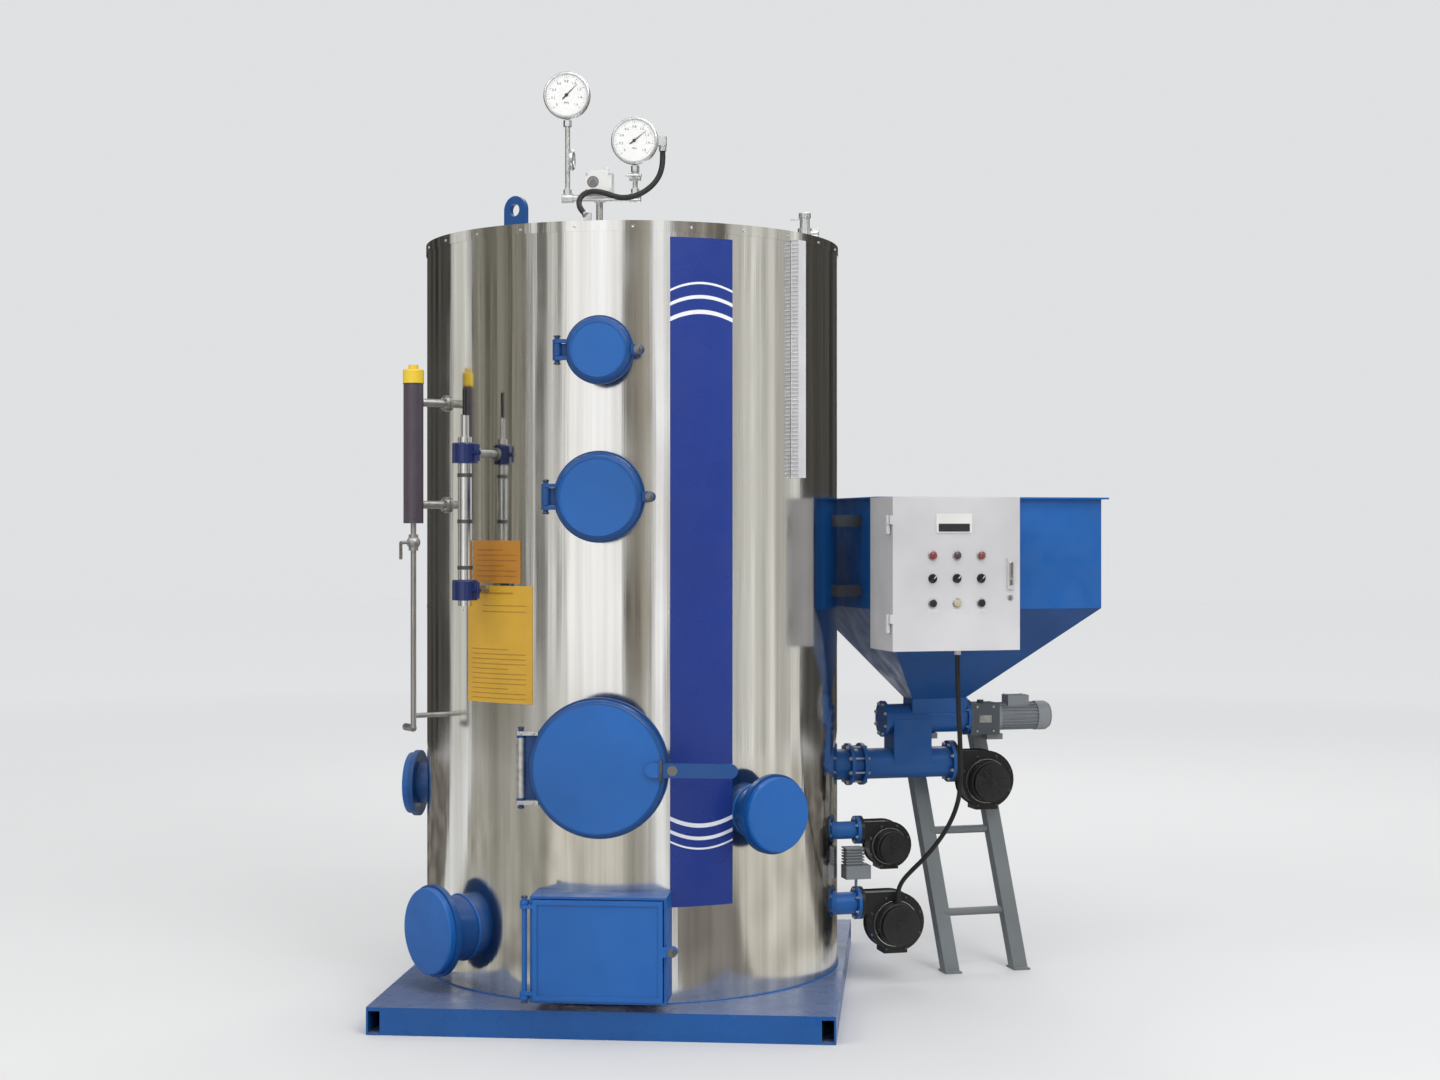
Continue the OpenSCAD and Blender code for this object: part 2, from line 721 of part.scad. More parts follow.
// Dished door with its hinge ears, pin and latch bolt
module round_door(spec, spread) {
    z = spec[0];
    r = spec[1];
    seat = spec[2] + seat_gap;
    depth = spec[3];
    pin_x = -r - hinge_off;
    half_l = spread + ear_t / 2 + pin_out;
    ear_x = -sqrt(pow(r, 2) - pow(spread + ear_t / 2, 2)) + door_edge;
    color(blue) {
        difference() {
            union() {
                facing(z, seat) rounded_disc(r, depth, door_edge);
                for (end = [-1, 1]) {
                    low = z + end * spread - ear_t / 2;
                    post(pin_x, -spec[2], low, low + ear_t, knuckle_r);
                    span([pin_x, -seat - knuckle_r, low], [ear_x, -seat - ear_step, low + ear_t]);
                }
                latch_lug(r - door_edge, r + latch_off, z, seat + lug_step, seat + lug_step + lug_t,
                    lug_r - over);
            }
            facing(z, seat - over)
                rounded_disc(r - door_plate, depth - door_plate + over, door_edge - door_plate);
        }
        post(pin_x, -spec[2], z - half_l, z + half_l, pin_r);
        latch_bolt(r + latch_off, z, spec[2]);
    }
}

module upper_neck() round_neck(upper_spec, upper_spread);
module upper_door() round_door(upper_spec, upper_spread);
module middle_neck() round_neck(middle_spec, middle_spread);
module middle_door() round_door(middle_spec, middle_spread);
module fire_neck() round_neck(fire_spec, fire_spread);
module fire_door() {
    face = fire_spec[2] + fire_door_depth;
    bar_x = fire_door_r - door_edge - handle_w / 2;
    grip_x = fire_door_r + handle_l - handle_w / 2;
    z = fire_spec[0];
    round_door(fire_spec, fire_spread);
    // Flat handle bar, round at both ends
    color(deep_blue) {
        span([bar_x, -face - handle_t, z - handle_w / 2], [grip_x, -face + over / 2, z + handle_w / 2]);
        for (x = [bar_x, grip_x]) translate([x, 0, 0]) radial(z, face - over, face + handle_t, handle_w / 2);
    }
}
module fire_door_lining() color("#b9b1a0") {
    lining_h = fire_door_depth - door_plate - lining_step;
    facing(fire_spec[0], fire_spec[2] + lining_step)
        rounded_disc(fire_door_r - door_plate - seat_gap, lining_h, door_edge - door_plate);
}

/* Ash door */

ash_z = deck_z + ash_rise;
// Bottom and top of the ash doorway in the drum
ash_doorway = [ash_z - ash_h / 2 + ash_drum_step, ash_z + ash_h / 2 - ash_drum_step];
ash_face = jacket_r + ash_seat;
ash_pin_x = -ash_w / 2 - hinge_off + 3;
ash_bolt_x = ash_w / 2 + latch_off + 6;
ash_fixed_ear_z = ash_h / 2 - 8;
ash_door_ear_z = ash_fixed_ear_z - ear_t - over;

// Box as large as the ash door and a margin all round, between two distances from the axis
module ash_opening(margin, reach, from)
    span([-ash_w / 2 - margin, -reach, ash_z - ash_h / 2 - margin],
        [ash_w / 2 + margin, -from, ash_z + ash_h / 2 + margin]);

module ash_box() color(blue) difference() {
    union() {
        ash_opening(ash_lip, ash_face, furnace_r / 2);
        for (end = [-1, 1]) {
            low = ash_z + end * ash_fixed_ear_z - ear_t / 2;
            post(ash_pin_x, -ash_face, low, low + ear_t, knuckle_r);
            span([ash_pin_x, -ash_face, low], [-ash_w / 2, -ash_face + knuckle_r, low + ear_t]);
        }
        latch_lug(ash_w / 2, ash_bolt_x, ash_z, ash_face - seat_flange_t, ash_face, lug_r);
    }
    ash_opening(ash_lip - neck_t, ash_face + over, 0);
    post(0, 0, 0, ash_z + ash_h, drum_r + seat_gap);
    post(ash_pin_x, -ash_face, 0, ash_z + ash_h, pin_r + pin_gap);
    translate([ash_bolt_x, 0, 0])
        radial(ash_z, ash_face - seat_flange_t - over, ash_face + over, latch_bolt_r + bolt_play);
}

module ash_door() color(blue) {
    face = ash_face + seat_gap;
    half_l = ash_fixed_ear_z + ear_t / 2 + pin_out;
    difference() {
        ash_opening(0, face + ash_plate + ash_rim_t, face);
        ash_opening(-ash_rim_w, face + ash_plate + ash_rim_t + over, face + ash_plate);
    }
    for (end = [-1, 1]) {
        low = ash_z + end * ash_door_ear_z - ear_t / 2;
        post(ash_pin_x, -ash_face, low, low + ear_t, knuckle_r);
        span([ash_pin_x, -face - ash_plate - ash_rim_t, low],
            [-ash_w / 2 + ash_rim_w, -face - ear_step / 2, low + ear_t]);
    }
    post(ash_pin_x, -ash_face, ash_z - half_l, ash_z + half_l, pin_r);
    latch_lug(ash_w / 2 - ash_rim_w, ash_bolt_x, ash_z, face + lug_step, face + lug_step + lug_t,
        lug_r - over);
    latch_bolt(ash_bolt_x, ash_z, ash_face);
}

/* Hand holes */

// Rounding of the hand holes' covers
cover_edge = 6;

module hand_hole_neck(spec) color(deep_blue) turned(spec[0]) difference() {
    union() {
        radial(spec[1], furnace_r, spec[3], hole_neck_r(spec[2]));
        radial(spec[1], spec[3] - hole_ring_t, spec[3], spec[2] + collar_step);
    }
    radial(spec[1], 0, spec[3] + over, hole_neck_r(spec[2]) - neck_t);
    post(0, 0, spec[1] - spec[2], spec[1] + spec[2], drum_r + seat_gap);
}

module hand_hole_necks() for (spec = hole_specs) hand_hole_neck(spec);
module hand_hole_covers() for (spec = hole_specs) color(blue) turned(spec[0])
    facing(spec[1], spec[3] + seat_gap) rounded_disc(spec[2], hole_cover_t, cover_edge);

/* Level gauges */

column_dist = jacket_r + column_off;
column_bottom = deck_z + column_z;
column_arms = [column_bottom + 60, column_bottom + column_l - 60];
gauge_dist = jacket_r + gauge_off;
gauge_bottom = deck_z + gauge_z;
gauge_arms = [gauge_bottom + collar_off, gauge_bottom + gauge_l - collar_off];
drain_bottom = deck_z + drain_z;

module level_column() turned(column_a) translate([0, -column_dist, column_bottom]) {
    color("#4b4350") cylinder(r = column_r, h = column_l);
    color("#e6d619") translate([0, 0, column_l]) {
        rounded_disc(column_r + 2, cap_h, cover_edge);
        cylinder(r = column_r / 2, h = cap_h + 14);
    }
}

// Reach of the gauge valves' stems and of their crossbars
stem_l = 24;
crossbar_l = 26;
// Lengths of the thin tube and of the black rod above the gauge
thin_tube_l = 70;
top_rod_l = 150;
// Chrome tube between two valve bodies, with a thin tube and a rod on top
module level_gauge() turned(gauge_a) translate([0, -gauge_dist, 0]) {
    guard_z = gauge_bottom + gauge_l;
    color(steel) post(0, 0, gauge_bottom, guard_z, gauge_r);
    color(deep_blue) for (z = gauge_arms) {
        translate([0, 0, z - collar_h / 2]) rounded_disc(collar_r, collar_h, cover_edge);
        rod([0, 0, z], [collar_r + stem_l, 0, z], stem_r);
        rod([collar_r + stem_l * 0.75, 0, z - crossbar_l], [collar_r + stem_l * 0.75, 0, z + crossbar_l],
            stem_r * 0.7);
    }
    color(steel) post(0, 0, guard_z - over, guard_z + thin_tube_l, gauge_r * 0.6);
    color(black) rod([0, 0, guard_z + thin_tube_l - stem_r], [0, 0, guard_z + top_rod_l], stem_r);
}

// How deep the arms go into the jacket
arm_depth = 30;
arm_flange_t = 12;
// Middle of the drain valve below the column, its body and its lever
drain_valve_drop = 62;
drain_valve_half = 26;
drain_ball_r = 22;
lever_reach = 44;
lever_half = [6, 3, 28];
// Length of the drain's spout and its stay above the spout
spout_l = 60;
stay_up = 40;

module level_pipework() color(grey) {
    valve_z = column_bottom - drain_valve_drop;
    turned(column_a) {
        for (z = column_arms) difference() {
            union() {
                radial(z, jacket_r - arm_depth, column_dist, arm_r);
                radial(z, jacket_r + seat_gap, jacket_r + arm_flange_t, arm_r * 2);
            }
            post(0, -column_dist, z - 3 * arm_r, z + 3 * arm_r, column_r + seat_gap);
            post(0, 0, z - 3 * arm_r, z + 3 * arm_r, jacket_r - arm_depth);
        }
        // Drain valve below the column, and the drain pipe with its outlet
        post(0, -column_dist, drain_bottom, column_bottom - seat_gap, drain_r);
        translate([0, -column_dist, valve_z]) sphere(r = drain_ball_r);
        post(0, -column_dist, valve_z - drain_valve_half, valve_z + drain_valve_half, drain_r * 1.7);
        rod([0, -column_dist, valve_z], [0, -column_dist - lever_reach, valve_z], drain_r * 0.6);
        translate([0, -column_dist - lever_reach, valve_z - drain_valve_half]) span(-lever_half, lever_half);
        rod([0, -column_dist, drain_bottom], [-spout_l, -column_dist, drain_bottom], drain_r * 1.3);
        radial(drain_bottom + stay_up, jacket_r + seat_gap, column_dist, stem_r);
    }
    turned(gauge_a) for (z = gauge_arms) {
        radial(z, jacket_r - arm_depth, gauge_dist - collar_r - seat_gap, arm_r);
        radial(z, gauge_dist - collar_r - arm_flange_t, gauge_dist - collar_r - seat_gap, arm_r * 1.6);
    }
}

/* Top fittings */

module flue_outlet() color(blue) {
    bottom = crown_z + plate_t + seat_gap;
    translate([0, 0, bottom]) ring(flue_r, flue_r - neck_t, cover_top + flue_h - bottom);
    translate([0, 0, cover_top + flue_h - pipe_flange_t]) difference() {
        ring(flue_r + flue_flange_w, flue_r - neck_t, pipe_flange_t);
        for (i = [0 : 7]) rotate([0, 0, (i + 0.5) * 45])
            post(flue_r + flue_bolt_off, 0, -over, pipe_flange_t + over, bolt_hole_r);
    }
}

module steam_outlet() color(blue) translate([0, steam_y, cover_top + seat_gap]) difference() {
    union() {
        cylinder(r = steam_r, h = steam_h);
        cylinder(r = steam_r + 14, h = 8);
        post(0, 0, steam_h - steam_flange_t, steam_h, steam_r + steam_flange_w);
    }
    post(0, 0, 2 * over, steam_h + over, steam_r - tube_wall);
    for (i = [0 : 3]) rotate([0, 0, (i + 0.5) * 90])
        post(steam_r + steam_bolt_off, 0, steam_h - steam_flange_t - over, steam_h + over, bolt_hole_r);
}

// Spring-loaded valve: nut, body with its side outlet, bonnet, cap and test lever
module safety_valve() color(grey) translate([jacket_r - safety_inset, 0, cover_top + seat_gap]) {
    cylinder(r = safety_r * 0.8, h = safety_h * 0.2, $fn = 6);
    post(0, 0, 0, safety_h * 0.5, safety_r * 0.65);
    post(0, 0, safety_h * 0.25, safety_h * 0.55, safety_r);
    post(0, 0, safety_h * 0.5, safety_h * 0.85, safety_r * 0.7);
    translate([0, 0, safety_h * 0.85 - over]) rounded_disc(safety_r * 0.85, safety_h * 0.15 + over, 4);
    rod([0, 0, safety_h * 0.4], [safety_r * 2, 0, safety_h * 0.4], safety_r * 0.55);
    rod([safety_r * 1.7, 0, safety_h * 0.4], [safety_r * 2, 0, safety_h * 0.4], safety_r * 0.75);
    span([-safety_r * 2, -3, safety_h * 0.78], [0, 3, safety_h * 0.83]);
}

module lifting_lugs() color(blue) for (turn = [0, 180]) turned(lug_a + turn)
    translate([0, -jacket_r + lug_inset, cover_top + seat_gap]) difference() {
        eye_z = lug_h - lug_w / 2;
        union() {
            span([-lug_w / 2, -lug_plate / 2, 0], [lug_w / 2, lug_plate / 2, eye_z]);
            radial(eye_z, -lug_plate / 2, lug_plate / 2, lug_w / 2);
        }
        radial(eye_z, -lug_plate, lug_plate, eye_r);
    }

manifold_y = jacket_r - manifold_inset;
manifold_z = cover_top + manifold_h;
left_gauge = [-left_gauge_off, manifold_z + left_gauge_rise];
right_gauge = [right_gauge_off, manifold_z + right_gauge_rise];
conduit_r = 9;
// Block where the conduit goes in: along X, across the cover's edge, and its height
entry_x = [-62, -38];
entry_y = [-2, 7];
entry_h = 24;
// Wall of a cord's gland, and the length of the gland at the cover
gland_wall = 3;
entry_gland_l = 16;
gland_r = conduit_r + gland_wall;
// Half-length and wall of the manifold's fittings
tee_half = 18;
tee_wall = 4;
// Heights above the manifold of the right gauge's cock and of the left stem's siphon
cock_up = 66;
siphon_up = 128;
cock_reach = 36;
// Height of the junction beside the right gauge
junction_h = 30;
gland_x = right_gauge_off + dial_r + gland_r + 1;

// Stem from the manifold up to a gauge, with a nut under the dial
module gauge_stem(gauge) {
    dial_bottom = gauge[1] - dial_r - seat_gap;
    post(gauge[0], 0, manifold_z, dial_bottom, stem_r);
    translate([gauge[0], 0, dial_bottom - 22]) cylinder(r = stem_r * nut_k, h = 20, $fn = 6);
    translate([gauge[0], 0, manifold_z + pipe_r - over]) cylinder(r = stem_r * nut_k, h = 18, $fn = 6);
}

module gauge_manifold() color(grey) translate([0, -manifold_y, 0]) {
    riser_x = -riser_off;
    left_x = left_gauge[0];
    right_x = right_gauge[0];
    cock_z = manifold_z + cock_up;
    post(riser_x, 0, cover_top + seat_gap, manifold_z, pipe_r);
    post(riser_x, 0, cover_top + seat_gap, cover_top + pipe_r, pipe_r * 2);
    rod([left_x - tee_half, 0, manifold_z], [right_x + tee_half, 0, manifold_z], pipe_r);
    for (x = [left_x, riser_x, right_x])
        rod([x - tee_half, 0, manifold_z], [x + tee_half, 0, manifold_z], pipe_r + tee_wall);
    gauge_stem(left_gauge);
    gauge_stem(right_gauge);
    // Siphon loop behind the left stem, and the right gauge's cock with its handle
    translate([left_x + stem_r * 1.2, siphon_r, manifold_z + siphon_up]) rotate([0, 90, 0])
        rotate_extrude() translate([siphon_r, 0]) circle(r = stem_r, $fn = 32);
    rod([right_x - tee_half, 0, cock_z], [right_x + tee_half, 0, cock_z], stem_r * 1.6);
    rod([right_x, 0, cock_z], [right_x, -cock_reach, cock_z], stem_r * 0.7);
    rod([right_x - crossbar_l, -cock_reach, cock_z], [right_x + crossbar_l, -cock_reach, cock_z],
        stem_r * 0.6);
    // Block with its gland at the cover's front edge, where the conduit goes in
    gland_axis = conduit_end[0] - conduit_end[1];
    translate([0, manifold_y, 0]) {
        rod(conduit_end[0], conduit_end[0] + entry_gland_l * gland_axis / norm(gland_axis), gland_r);
        span([entry_x[0], entry_y[0] - jacket_r, cover_top + seat_gap],
            [entry_x[1], entry_y[1] - jacket_r, cover_top + entry_h]);
    }
}

// Depth of the dial behind the rim, and the rim's length and width
dial_recess = 4;
dial_rim_l = 18;
dial_rim_w = 9;
// Round case with a rounded rim that stands out in front of the dial
module pressure_gauge(x, z) color(pale) translate([x, 0, 0]) difference() {
    union() {
        radial(z, manifold_y - dial_depth / 2, manifold_y + dial_depth / 2 - dial_recess, dial_r * 0.92);
        facing(z, manifold_y + dial_depth / 2 - dial_rim_l) rounded_disc(dial_r, dial_rim_l, cover_edge);
    }
    radial(z, manifold_y + dial_depth / 2 - dial_recess, manifold_y + dial_depth / 2 + over,
        dial_r - dial_rim_w);
}

module pressure_gauges() {
    pressure_gauge(left_gauge[0], left_gauge[1]);
    pressure_gauge(right_gauge[0], right_gauge[1]);
    // Junction at the right gauge's side, with a gland that points down
    color(black) {
        span([right_gauge[0] + dial_r * 0.8, -manifold_y - gland_r, right_gauge[1] - junction_h / 2],
            [gland_x + gland_r, -manifold_y + gland_r, right_gauge[1] + junction_h / 2]);
        post(gland_x, -manifold_y, conduit_path[0][2], right_gauge[1], gland_r);
    }
}

controller_seat = manifold_z + pipe_r + tee_wall + seat_gap;
// Depth of the controller's round window, and the height of the cap and the knob on top
window_depth = 3;
controller_cap_h = 8;

module pressure_controller() color(pale) translate([-riser_off, -manifold_y, controller_seat]) {
    half = controller_w / 2;
    cap_top = controller_h + controller_cap_h;
    difference() {
        span([-half, -controller_d / 2, 0], [half, controller_d / 2, controller_h]);
        translate([-half * 0.4, 0, 0])
            radial(controller_h / 2, controller_d / 2 - window_depth, controller_d, controller_h * 0.3);
    }
    span([-half * 0.6, -controller_d / 3, controller_h - over], [half * 0.6, controller_d / 3, cap_top]);
    post(half * 0.6, -controller_d / 6, controller_h, cap_top + controller_cap_h, controller_cap_h);
}

/* Feeder */

feed_end = jacket_r + feed_l;
trough_z = feed_z + chute_h;
trough_start = jacket_r + trough_off;
trough_end = trough_start + trough_l;
chute_x = trough_start + chute_off;
outlet_x = trough_start + outlet_off;
outlet_top = trough_z + trough_r + outlet_h;

// The feeder's own axes: X runs away from the boiler, and X and Y turn with the feeder
module feeder() rotate([0, 0, feeder_a]) children();

// Cylinder along the feeder from x0 to x1
module along(x0, x1, z, r) translate([x0, 0, z]) rotate([0, 90, 0]) cylinder(r = r, h = x1 - x0);

// Tube that blows the pellets into the furnace, and the chute down to it from the trough
module feed_tube() color(blue) feeder() difference() {
    union() {
        along(furnace_r, feed_end, feed_z, feed_r);
        for (x = [jacket_r + first_flange, jacket_r + first_flange + flange_pitch, feed_end - pipe_flange_t])
            along(x, x + pipe_flange_t, feed_z, feed_r + pipe_flange_w);
        span([chute_x, -feed_r, feed_z], [chute_x + chute_w, feed_r, trough_z]);
    }
    post(0, 0, feed_z - feed_r, feed_z + feed_r, drum_r + seat_gap);
    along(0, feed_end + over, feed_z, feed_r - tube_wall);
    span([chute_x + tube_wall, -feed_r + tube_wall, feed_z],
        [chute_x + chute_w - tube_wall, feed_r - tube_wall, trough_z + over]);
    along(chute_x - over, chute_x + chute_w + over, trough_z, trough_r + seat_gap);
}

// Screw trough, open to its neck above and to the chute below
module screw_trough() color(blue) feeder() difference() {
    union() {
        along(trough_start, trough_end, trough_z, trough_r);
        for (x = [trough_start, trough_end - pipe_flange_t])
            along(x, x + pipe_flange_t, trough_z, trough_r + trough_flange_w);
    }
    along(trough_start + tube_wall, trough_end - tube_wall, trough_z, trough_r - tube_wall);
    along(trough_end - 2 * tube_wall, trough_end + over, trough_z, shaft_r + seat_gap);
    span([outlet_x + 2 * hopper_t, -outlet_d / 2 + 3 * hopper_t, trough_z],
        [outlet_x + outlet_w - pipe_flange_t, outlet_d / 2 - 3 * hopper_t, outlet_top]);
    span([chute_x + tube_wall, -feed_r + 3 * tube_wall, trough_z - trough_r - over],
        [chute_x + chute_w - tube_wall, feed_r - 3 * tube_wall, trough_z]);
}

// Neck that joins the hopper's outlet to the trough
module trough_neck() color(blue) feeder() difference() {
    neck_end = trough_end - pipe_flange_t - seat_gap;
    span([outlet_x, -outlet_d / 2, trough_z], [neck_end, outlet_d / 2, outlet_top - seat_gap]);
    span([outlet_x + hopper_t, -outlet_d / 2 + hopper_t, trough_z - over],
        [neck_end - hopper_t, outlet_d / 2 - hopper_t, outlet_top]);
    along(outlet_x - over, neck_end + over, trough_z, trough_r + seat_gap);
}

// Play between the flight and the shaft, and the length of one slice of the flight
shaft_play = 0.1;
slice_l = 4;
// Shaft that the gear motor turns, and the flight wound round it
module feed_screw() color("#8f9092") feeder()
translate([trough_start + 2 * tube_wall, 0, trough_z]) rotate([0, 90, 0]) {
    flight_l = trough_l - 4 * tube_wall;
    half_a = 180 * flight_t / screw_pitch;
    bore_r = shaft_r + shaft_play;
    cylinder(r = shaft_r, h = trough_l - 2 * tube_wall);
    linear_extrude(flight_l, twist = -360 * flight_l / screw_pitch, slices = floor(flight_l / slice_l), $fn = 4)
    polygon(concat(
        [for (a = [-half_a : half_a / 2 : half_a]) screw_r * [cos(a), sin(a)]],
        [for (a = [half_a : -half_a / 2 : -half_a]) bore_r * [cos(a), sin(a)] / cos(half_a)]));
}

gearbox_bottom = trough_z - gearbox_down;
// How far the cowl stands out over the fins
cowl_lip = 2;

// Thickness of the gearbox's flange, of the motor's flange and of its fins
gearbox_flange_t = 8;
motor_flange_t = 12;
fin_t = 3;
// Terminal box on the motor: from and to, half its width and how far it stands out
terminal_x = [40, 120];
terminal_half = 30;
terminal_up = 26;
// Filler plug on the gearbox
plug_r = 12;
plug_h = 10;
// Gearbox with its flange, and the finned motor with its cowl and terminal box
module gear_motor() color(grey) feeder() translate([trough_end + seat_gap, 0, trough_z]) {
    cowl = gearbox_l + motor_l * 0.76;
    span([0, -gearbox_w / 2, -gearbox_down], [gearbox_l, gearbox_w / 2, gearbox_up]);
    along(0, gearbox_flange_t, 0, gearbox_w * 0.62);
    along(gearbox_l - over, gearbox_l + motor_flange_t, 0, motor_r);
    along(gearbox_l, gearbox_l + motor_l, 0, motor_r - fin_h);
    for (i = [1 : fin_count]) rotate([i * 360 / fin_count, 0, 0])
        span([gearbox_l + motor_flange_t - over, -fin_t / 2, 0], [cowl, fin_t / 2, motor_r]);
    translate([cowl - over, 0, 0]) rotate([0, 90, 0])
        rounded_disc(motor_r + cowl_lip, gearbox_l + motor_l - cowl + over, 2 * cover_edge);
    span([gearbox_l + terminal_x[0], -terminal_half, motor_r * 0.7],
        [gearbox_l + terminal_x[1], terminal_half, motor_r + terminal_up]);
    post(gearbox_l / 2, 0, gearbox_up - over, gearbox_up + plug_h, plug_r);
}

// Share by which a volute's radius shrinks over one turn
volute_k = 0.22;
// Height of a volute's duct, as a share of its radius
duct_k = 0.65;
// Middle of the duct above the shaft, as a share of the volute's radius
duct_mid = 1 - duct_k / 2;
duct_reach = 20;

// Side of a blower housing seen from its shaft: a spiral with its duct on the left, w thick from v0 on
module volute(r, duct_l, v0, w) {
    steps = 36;
    spiral = [for (i = [0 : steps])
        let (a = 90 - i * 360 / steps, d = r * (1 - volute_k * i / steps)) [d * cos(a), d * sin(a)]];
    translate([0, v0 + w, 0]) rotate([90, 0, 0]) linear_extrude(w) union() {
        polygon(spiral);
        translate([-duct_l, (1 - duct_k) * r]) square([duct_l, duct_k * r]);
    }
}

// Blower housing with rimmed sides, flange, foot, and its motor facing the front
module blower(r, flange_r) {
    duct_l = r + duct_reach;
    volute(r, duct_l, -volute_w / 2, volute_w);
    for (v = [-volute_w / 2, volute_w / 2 - 3]) volute(r + volute_rim, duct_l - over, v, 3);
    translate([-duct_l, 0, 0]) along(0, pipe_flange_t, duct_mid * r, flange_r);
    span([-0.4 * r, -volute_w / 2, -0.98 * r], [0.4 * r, volute_w / 2, -0.8 * r]);
    translate([0, -volute_w / 2 + over, 0]) rotate([90, 0, 0]) {
        cylinder(r = motor_share * r + 4, h = 7);
        rounded_disc(motor_share * r, blower_motor_l * 0.75, cover_edge);
        rounded_disc(motor_share * r * 0.6, blower_motor_l, cover_edge / 2);
    }
    // Inlet at the back
    translate([0, volute_w / 2 - over, 0]) rotate([-90, 0, 0]) ring(0.5 * r, 0.42 * r, 14);
}

module feed_blower() color(black) feeder()
    translate([feed_end + seat_gap + feed_blower_r + duct_reach, 0, feed_z - duct_mid * feed_blower_r])
        blower(feed_blower_r, feed_r + pipe_flange_w);

// Blower stubs through the jacket, in the feeder's axes: side offset, height and radius
stub_specs = [[-blower_v, lower_stub_z, lower_stub_r], [-blower_v, upper_stub_z, upper_stub_r]];
stub_end = jacket_r + stub_l;
module air_stubs() color(blue) feeder() for (spec = stub_specs) translate([0, spec[0], 0]) {
    along(jacket_r - 60, stub_end, spec[1], spec[2]);
    along(stub_end - pipe_flange_t, stub_end, spec[1], spec[2] + stub_flange_w);
}

module side_blower(r, spec) color(black) feeder()
    translate([stub_end + seat_gap + r + duct_reach, spec[0], spec[1] - duct_mid * r])
        blower(r, spec[2] + stub_flange_w);

// Where the cable meets the lower blower's motor, in the feeder's axes
motor_gland = [stub_end + lower_blower_r + duct_reach, -blower_v - volute_w / 2 - blower_motor_l / 2 + 2];
module air_blowers() {
    side_blower(lower_blower_r, stub_specs[0]);
    side_blower(upper_blower_r, stub_specs[1]);
    // Cable gland on the lower blower's motor
    color(black) feeder()
        post(motor_gland[0], motor_gland[1], lower_stub_z - cable_gland_l, cable_end_z, cable_r + gland_wall);
}

// Actuator that sets the lower blower's air, on a post on the stub's flange
module damper_drive() color(grey) feeder() translate([stub_end - pipe_flange_t / 2, -blower_v, 0]) {
    low = lower_stub_z + lower_stub_r + stub_flange_w + seat_gap;
    post(0, 0, low, low + 30, pipe_flange_t / 2 - over);
    span([-44, -30, low + 28], [44, 30, low + 74]);
    for (i = [0 : 5]) span([-44, -26, low + 80 + i * 10], [22, 26, low + 85 + i * 10]);
    span([-38, -20, low + 70], [16, 20, low + 130]);
}

/* Hopper */

hopper_start = jacket_r + hopper_off;
hopper_end = hopper_start + hopper_w;
hopper_bend = hopper_top - hopper_wall_h;

// Block on the hopper's outline, grown by m at its sides
module hopper_block(m, z0, z1)
    span([hopper_start - m, -hopper_d / 2 - m, z0], [hopper_end + m, hopper_d / 2 + m, z1]);

module hopper_bin() color(blue) feeder() difference() {
    union() {
        hopper_block(0, hopper_bend, hopper_top);
        hopper_block(rim_w, hopper_top - rim_t, hopper_top);
    }
    hopper_block(-hopper_t, hopper_bend - over, hopper_top + over);
}

// Four-sided funnel, its wall set in by t
module funnel(t, z0, z1) {
    x0 = outlet_x + t;
    x1 = outlet_x + outlet_w - t;
    y = outlet_d / 2 - t;
    wide_x0 = hopper_start + t;
    wide_x1 = hopper_end - t;
    wide_y = hopper_d / 2 - t;
    polyhedron(
        [[x0, -y, z0], [x1, -y, z0], [x1, y, z0], [x0, y, z0],
            [wide_x0, -wide_y, z1], [wide_x1, -wide_y, z1], [wide_x1, wide_y, z1], [wide_x0, wide_y, z1]],
        [[0, 1, 2, 3], [7, 6, 5, 4], [4, 5, 1, 0], [5, 6, 2, 1], [6, 7, 3, 2], [7, 4, 0, 3]]);
}

module hopper_cone() color(deep_blue) feeder() difference() {
    funnel(0, outlet_top, hopper_bend);
    funnel(hopper_t, outlet_top - 0.01, hopper_bend + 0.01);
}

// Arms that hold the hopper to the boiler, and the rails behind the control cabinet
module hopper_brackets() color("#3a3f45") feeder() {
    difference() {
        for (z = [hopper_bend + arm_w, hopper_top - 2.5 * arm_w]) for (y = [-arm_off, arm_off])
            span([jacket_r / 2, y - arm_w / 2, z], [hopper_start - seat_gap, y + arm_w / 2, z + arm_w]);
        post(0, 0, 0, hopper_top, jacket_r + seat_gap);
    }
    for (z = [hopper_bend + arm_w, hopper_top - 2.5 * arm_w])
        span([hopper_start + arm_w / 2, cabinet_back + seat_gap, z],
            [cabinet_start + cabinet_w - arm_w / 2, -hopper_d / 2 - seat_gap, z + arm_w]);
}

/* Trestle */

// Upper and lower ends of the near rail's middle line, in the feeder's axes
rail_top = [1060, 160, 845];
rail_foot = [1128, -105, -40];
bracket_t = 20;
// How far the brackets stay off the chute and reach past the rails
chute_gap = 2;
bracket_end = 10;
foot_t = 6;
foot_lip = 8;

function rail_at(z) = rail_top + (rail_top[2] - z) / (rail_top[2] - rail_foot[2]) * (rail_foot - rail_top);

